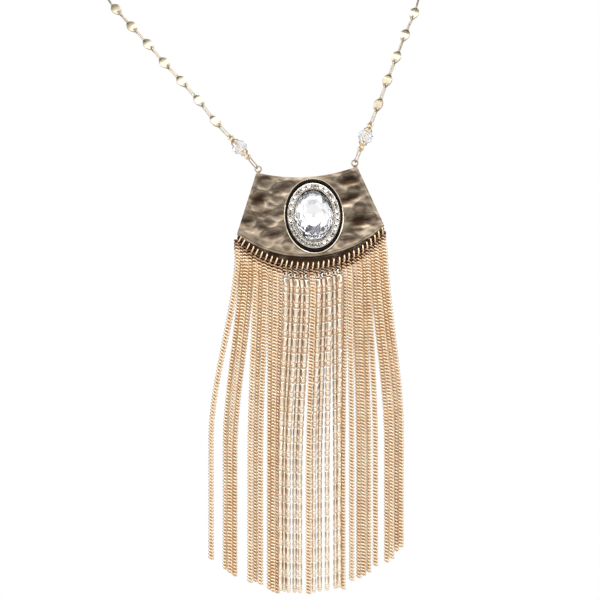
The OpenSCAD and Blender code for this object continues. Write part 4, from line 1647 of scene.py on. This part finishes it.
@dataclass
class Studio:
    """Pale floor, white backdrop, soft lights and the level camera."""

    centre: Vector = field(default_factory=lambda: Vector((12.95, -117.0, -161.0)))
    distance: float = 1200.0
    width: float = 210.0
    sensor: float = 36.0
    far_clip: float = 20.0
    floor_w: float = 3.0
    floor_z: float = -450.0
    # Lamps: name, place in metres and power in watts, and the width of all
    lamps: tuple[tuple[str, Triple, float], ...] = (
        ("key_light", (-1.5, -1.0, 0.55), 9.0), ("fill_light", (1.5, -0.9, 0.25), 6.0),
        ("top_light", (0.1, -0.9, 1.35), 5.0))
    lamp_w: float = 0.8
    # Share of the white backdrop that shows through clear stones
    through: float = 0.6
    # Tone of the room's air from below to above, and from the camera's side to the back
    by_height: tuple[Pair, ...] = (
        (0.0, 0.25), (0.24, 0.28), (0.36, 0.62), (0.44, 0.86), (0.55, 0.90), (0.60, 0.24),
        (0.66, 0.38), (0.70, 0.76), (0.77, 1.9), (0.86, 2.1), (1.0, 1.5))
    by_depth: tuple[Pair, ...] = (
        (0.0, 1.0), (0.14, 1.0), (0.27, 0.86), (0.40, 0.52), (0.5, 0.36), (0.75, 0.34), (1.0, 0.60))

    def floor(self, paper: Finish) -> None:
        """The paper floor, far below the necklace.

        Args:
            paper: its material.
        """
        put_down()
        bpy.ops.mesh.primitive_plane_add(size=self.floor_w, location=(0, 0, self.floor_z * MM))
        floor = bpy.context.object
        bpy.ops.object.transform_apply(location=True, rotation=True, scale=True)
        floor.name = "floor"
        floor.data.materials.append(paper)

    def light(self, name: str, place: Sequence[float], power: float) -> None:
        """Soft square lamp that looks at the necklace.

        Args:
            name: object name.
            place: place in metres.
            power: power in watts.
        """
        lamp = bpy.data.lights.new(name, "AREA")
        lamp.shape = "SQUARE"
        lamp.size = self.lamp_w
        lamp.energy = power
        body = placed(name, lamp)
        body.location = place
        body.rotation_euler = (self.centre * MM - Vector(place)).to_track_quat("-Z", "Y").to_euler()

    def air(self) -> None:
        """Light of the white room: pale above, greyer below, and white behind the necklace."""
        world = bpy.data.worlds.new("studio_air")
        bpy.context.scene.world = world
        world.use_nodes = True
        bench = NodeBench(world.node_tree)
        white = bench.tree.nodes["Background"]
        bench.feed(white.inputs["Color"], (1, 1, 1, 1))
        bench.feed(white.inputs["Strength"], 1.0)
        split = bench.node("SeparateXYZ", {"Vector": bench.node("TexCoord").outputs["Generated"]})
        tones = []
        for axis, steps in (("Z", self.by_height), ("Y", self.by_depth)):
            way = bench.between(split.outputs[axis], 0.0, 1.0, start=-1.0, end=1.0)
            tones.append(bench.ramp(way, [(place, (tone,) * 3) for place, tone in steps]))
        room = bench.node("Background", {"Color": bench.mixed(1.0, *tones, "MULTIPLY"), "Strength": 1.0})
        seen = bench.node("LightPath").outputs
        feeds = {0: seen["Is Transmission Ray"], 1: self.through, 2: seen["Is Camera Ray"]}
        clear = bench.node("Math", feeds, operation="MULTIPLY_ADD", use_clamp=True)
        feeds = {"Fac": clear.outputs[0], 1: room.outputs["Background"], 2: white.outputs["Background"]}
        choice = bench.node("MixShader", feeds)
        bench.feed(bench.tree.nodes["World Output"].inputs["Surface"], choice.outputs["Shader"])

    def camera(self) -> None:
        """The level camera in front of the necklace."""
        camera = bpy.data.cameras.new("camera")
        camera.sensor_width = self.sensor
        camera.lens = self.sensor * self.distance / self.width
        camera.clip_end = self.far_clip
        body = placed("camera", camera)
        body.location = self.centre * MM + Vector((0, -self.distance * MM, 0))
        body.rotation_euler = (math.pi / 2, 0, 0)
        bpy.context.scene.camera = body

    def build(self) -> None:
        """Sets up the stage, the light and the camera."""
        self.floor(StudioPaper().material())
        for name, place, power in self.lamps:
            self.light(name, place, power)
        self.air()
        self.camera()
        bpy.context.scene.view_settings.view_transform = "Standard"


# The whole necklace


def main() -> None:
    """Builds every part of the necklace and the studio."""
    logging.basicConfig(level=logging.INFO, format="%(message)s")
    gold = PlatedMetal("warm_polished_gold", (0.90, 0.72, 0.50), (0.56, 0.41, 0.26), 0.12, 0.24,
                       drift=1.4, tone_and_shade_brown=(0.26, 0.16, 0.09), edge_shade=0.95).material()
    pale_gold = PlatedMetal("pale_gold_plate", (0.60, 0.52, 0.385), (0.40, 0.34, 0.24), 0.18, 0.30,
                            drift=1.7, tone_and_shade_brown=(0.16, 0.13, 0.085), edge_shade=1.0).material()
    rim_gold = PlatedMetal("worn_rim_gold", (0.86, 0.76, 0.60), (0.64, 0.54, 0.39), 0.10,
                           0.22).material()
    seat_metal = PlatedMetal("pale_seat_metal", (0.96, 0.92, 0.85), (0.76, 0.70, 0.61), 0.10, 0.22,
                             drift=1.1, tone_and_shade_brown=(0.12, 0.095, 0.07)).material()
    rose = PlatedMetal("rose_gold_curb", (1.0, 0.81, 0.575), (0.95, 0.705, 0.455), 0.14, 0.26,
                       drift=5.0, tone_and_shade_brown=(0.46, 0.285, 0.165)).material()
    ring_rose = PlatedMetal("rose_gold_ring", (0.90, 0.69, 0.47), (0.78, 0.53, 0.32), 0.14,
                            0.26).material()
    champagne = PlatedMetal("champagne_bar", (1.0, 0.92, 0.78), (0.95, 0.83, 0.65), 0.14, 0.26,
                            drift=5.0, tone_and_shade_brown=(0.61, 0.425, 0.285)).material()
    crystal = CutCrystal("clear_crystal").material()
    rhinestone = CutCrystal("rhinestone_glass").material()
    bead = CutCrystal("bead_glass", ior=1.36, haze=0.01, edge_shade=1.0).material()
    foil = SilverFoil().material()
    halo_foil = SilverFoil("halo_foil", light=(1.0, 0.975, 0.93), dark_reflection=(0.13, 0.105, 0.085),
                           grey_reflection=(0.60, 0.56, 0.50)).material()
    enamel = BlackEnamel().material()
    plate = HammeredPlate()
    plate.build(HammeredBrass().material())
    OvalSetting(plate).build(rim_gold, seat_metal, enamel, crystal, rhinestone, foil, halo_foil)
    Fringe(plate).build(rose, champagne, ring_rose)
    for side in Side:
        word = side.name.lower()
        dress(f"chain_{word}", pale_gold)
        dress(f"corner_link_{word}", pale_gold)
        dress(f"connector_{word}", gold)
        dress(f"connector_bead_{word}", bead)
    dress("clasp", gold)
    dress("clasp_ring", gold)
    dress("clasp_link", pale_gold)
    Studio().build()


if __name__ == "__main__":
    main()
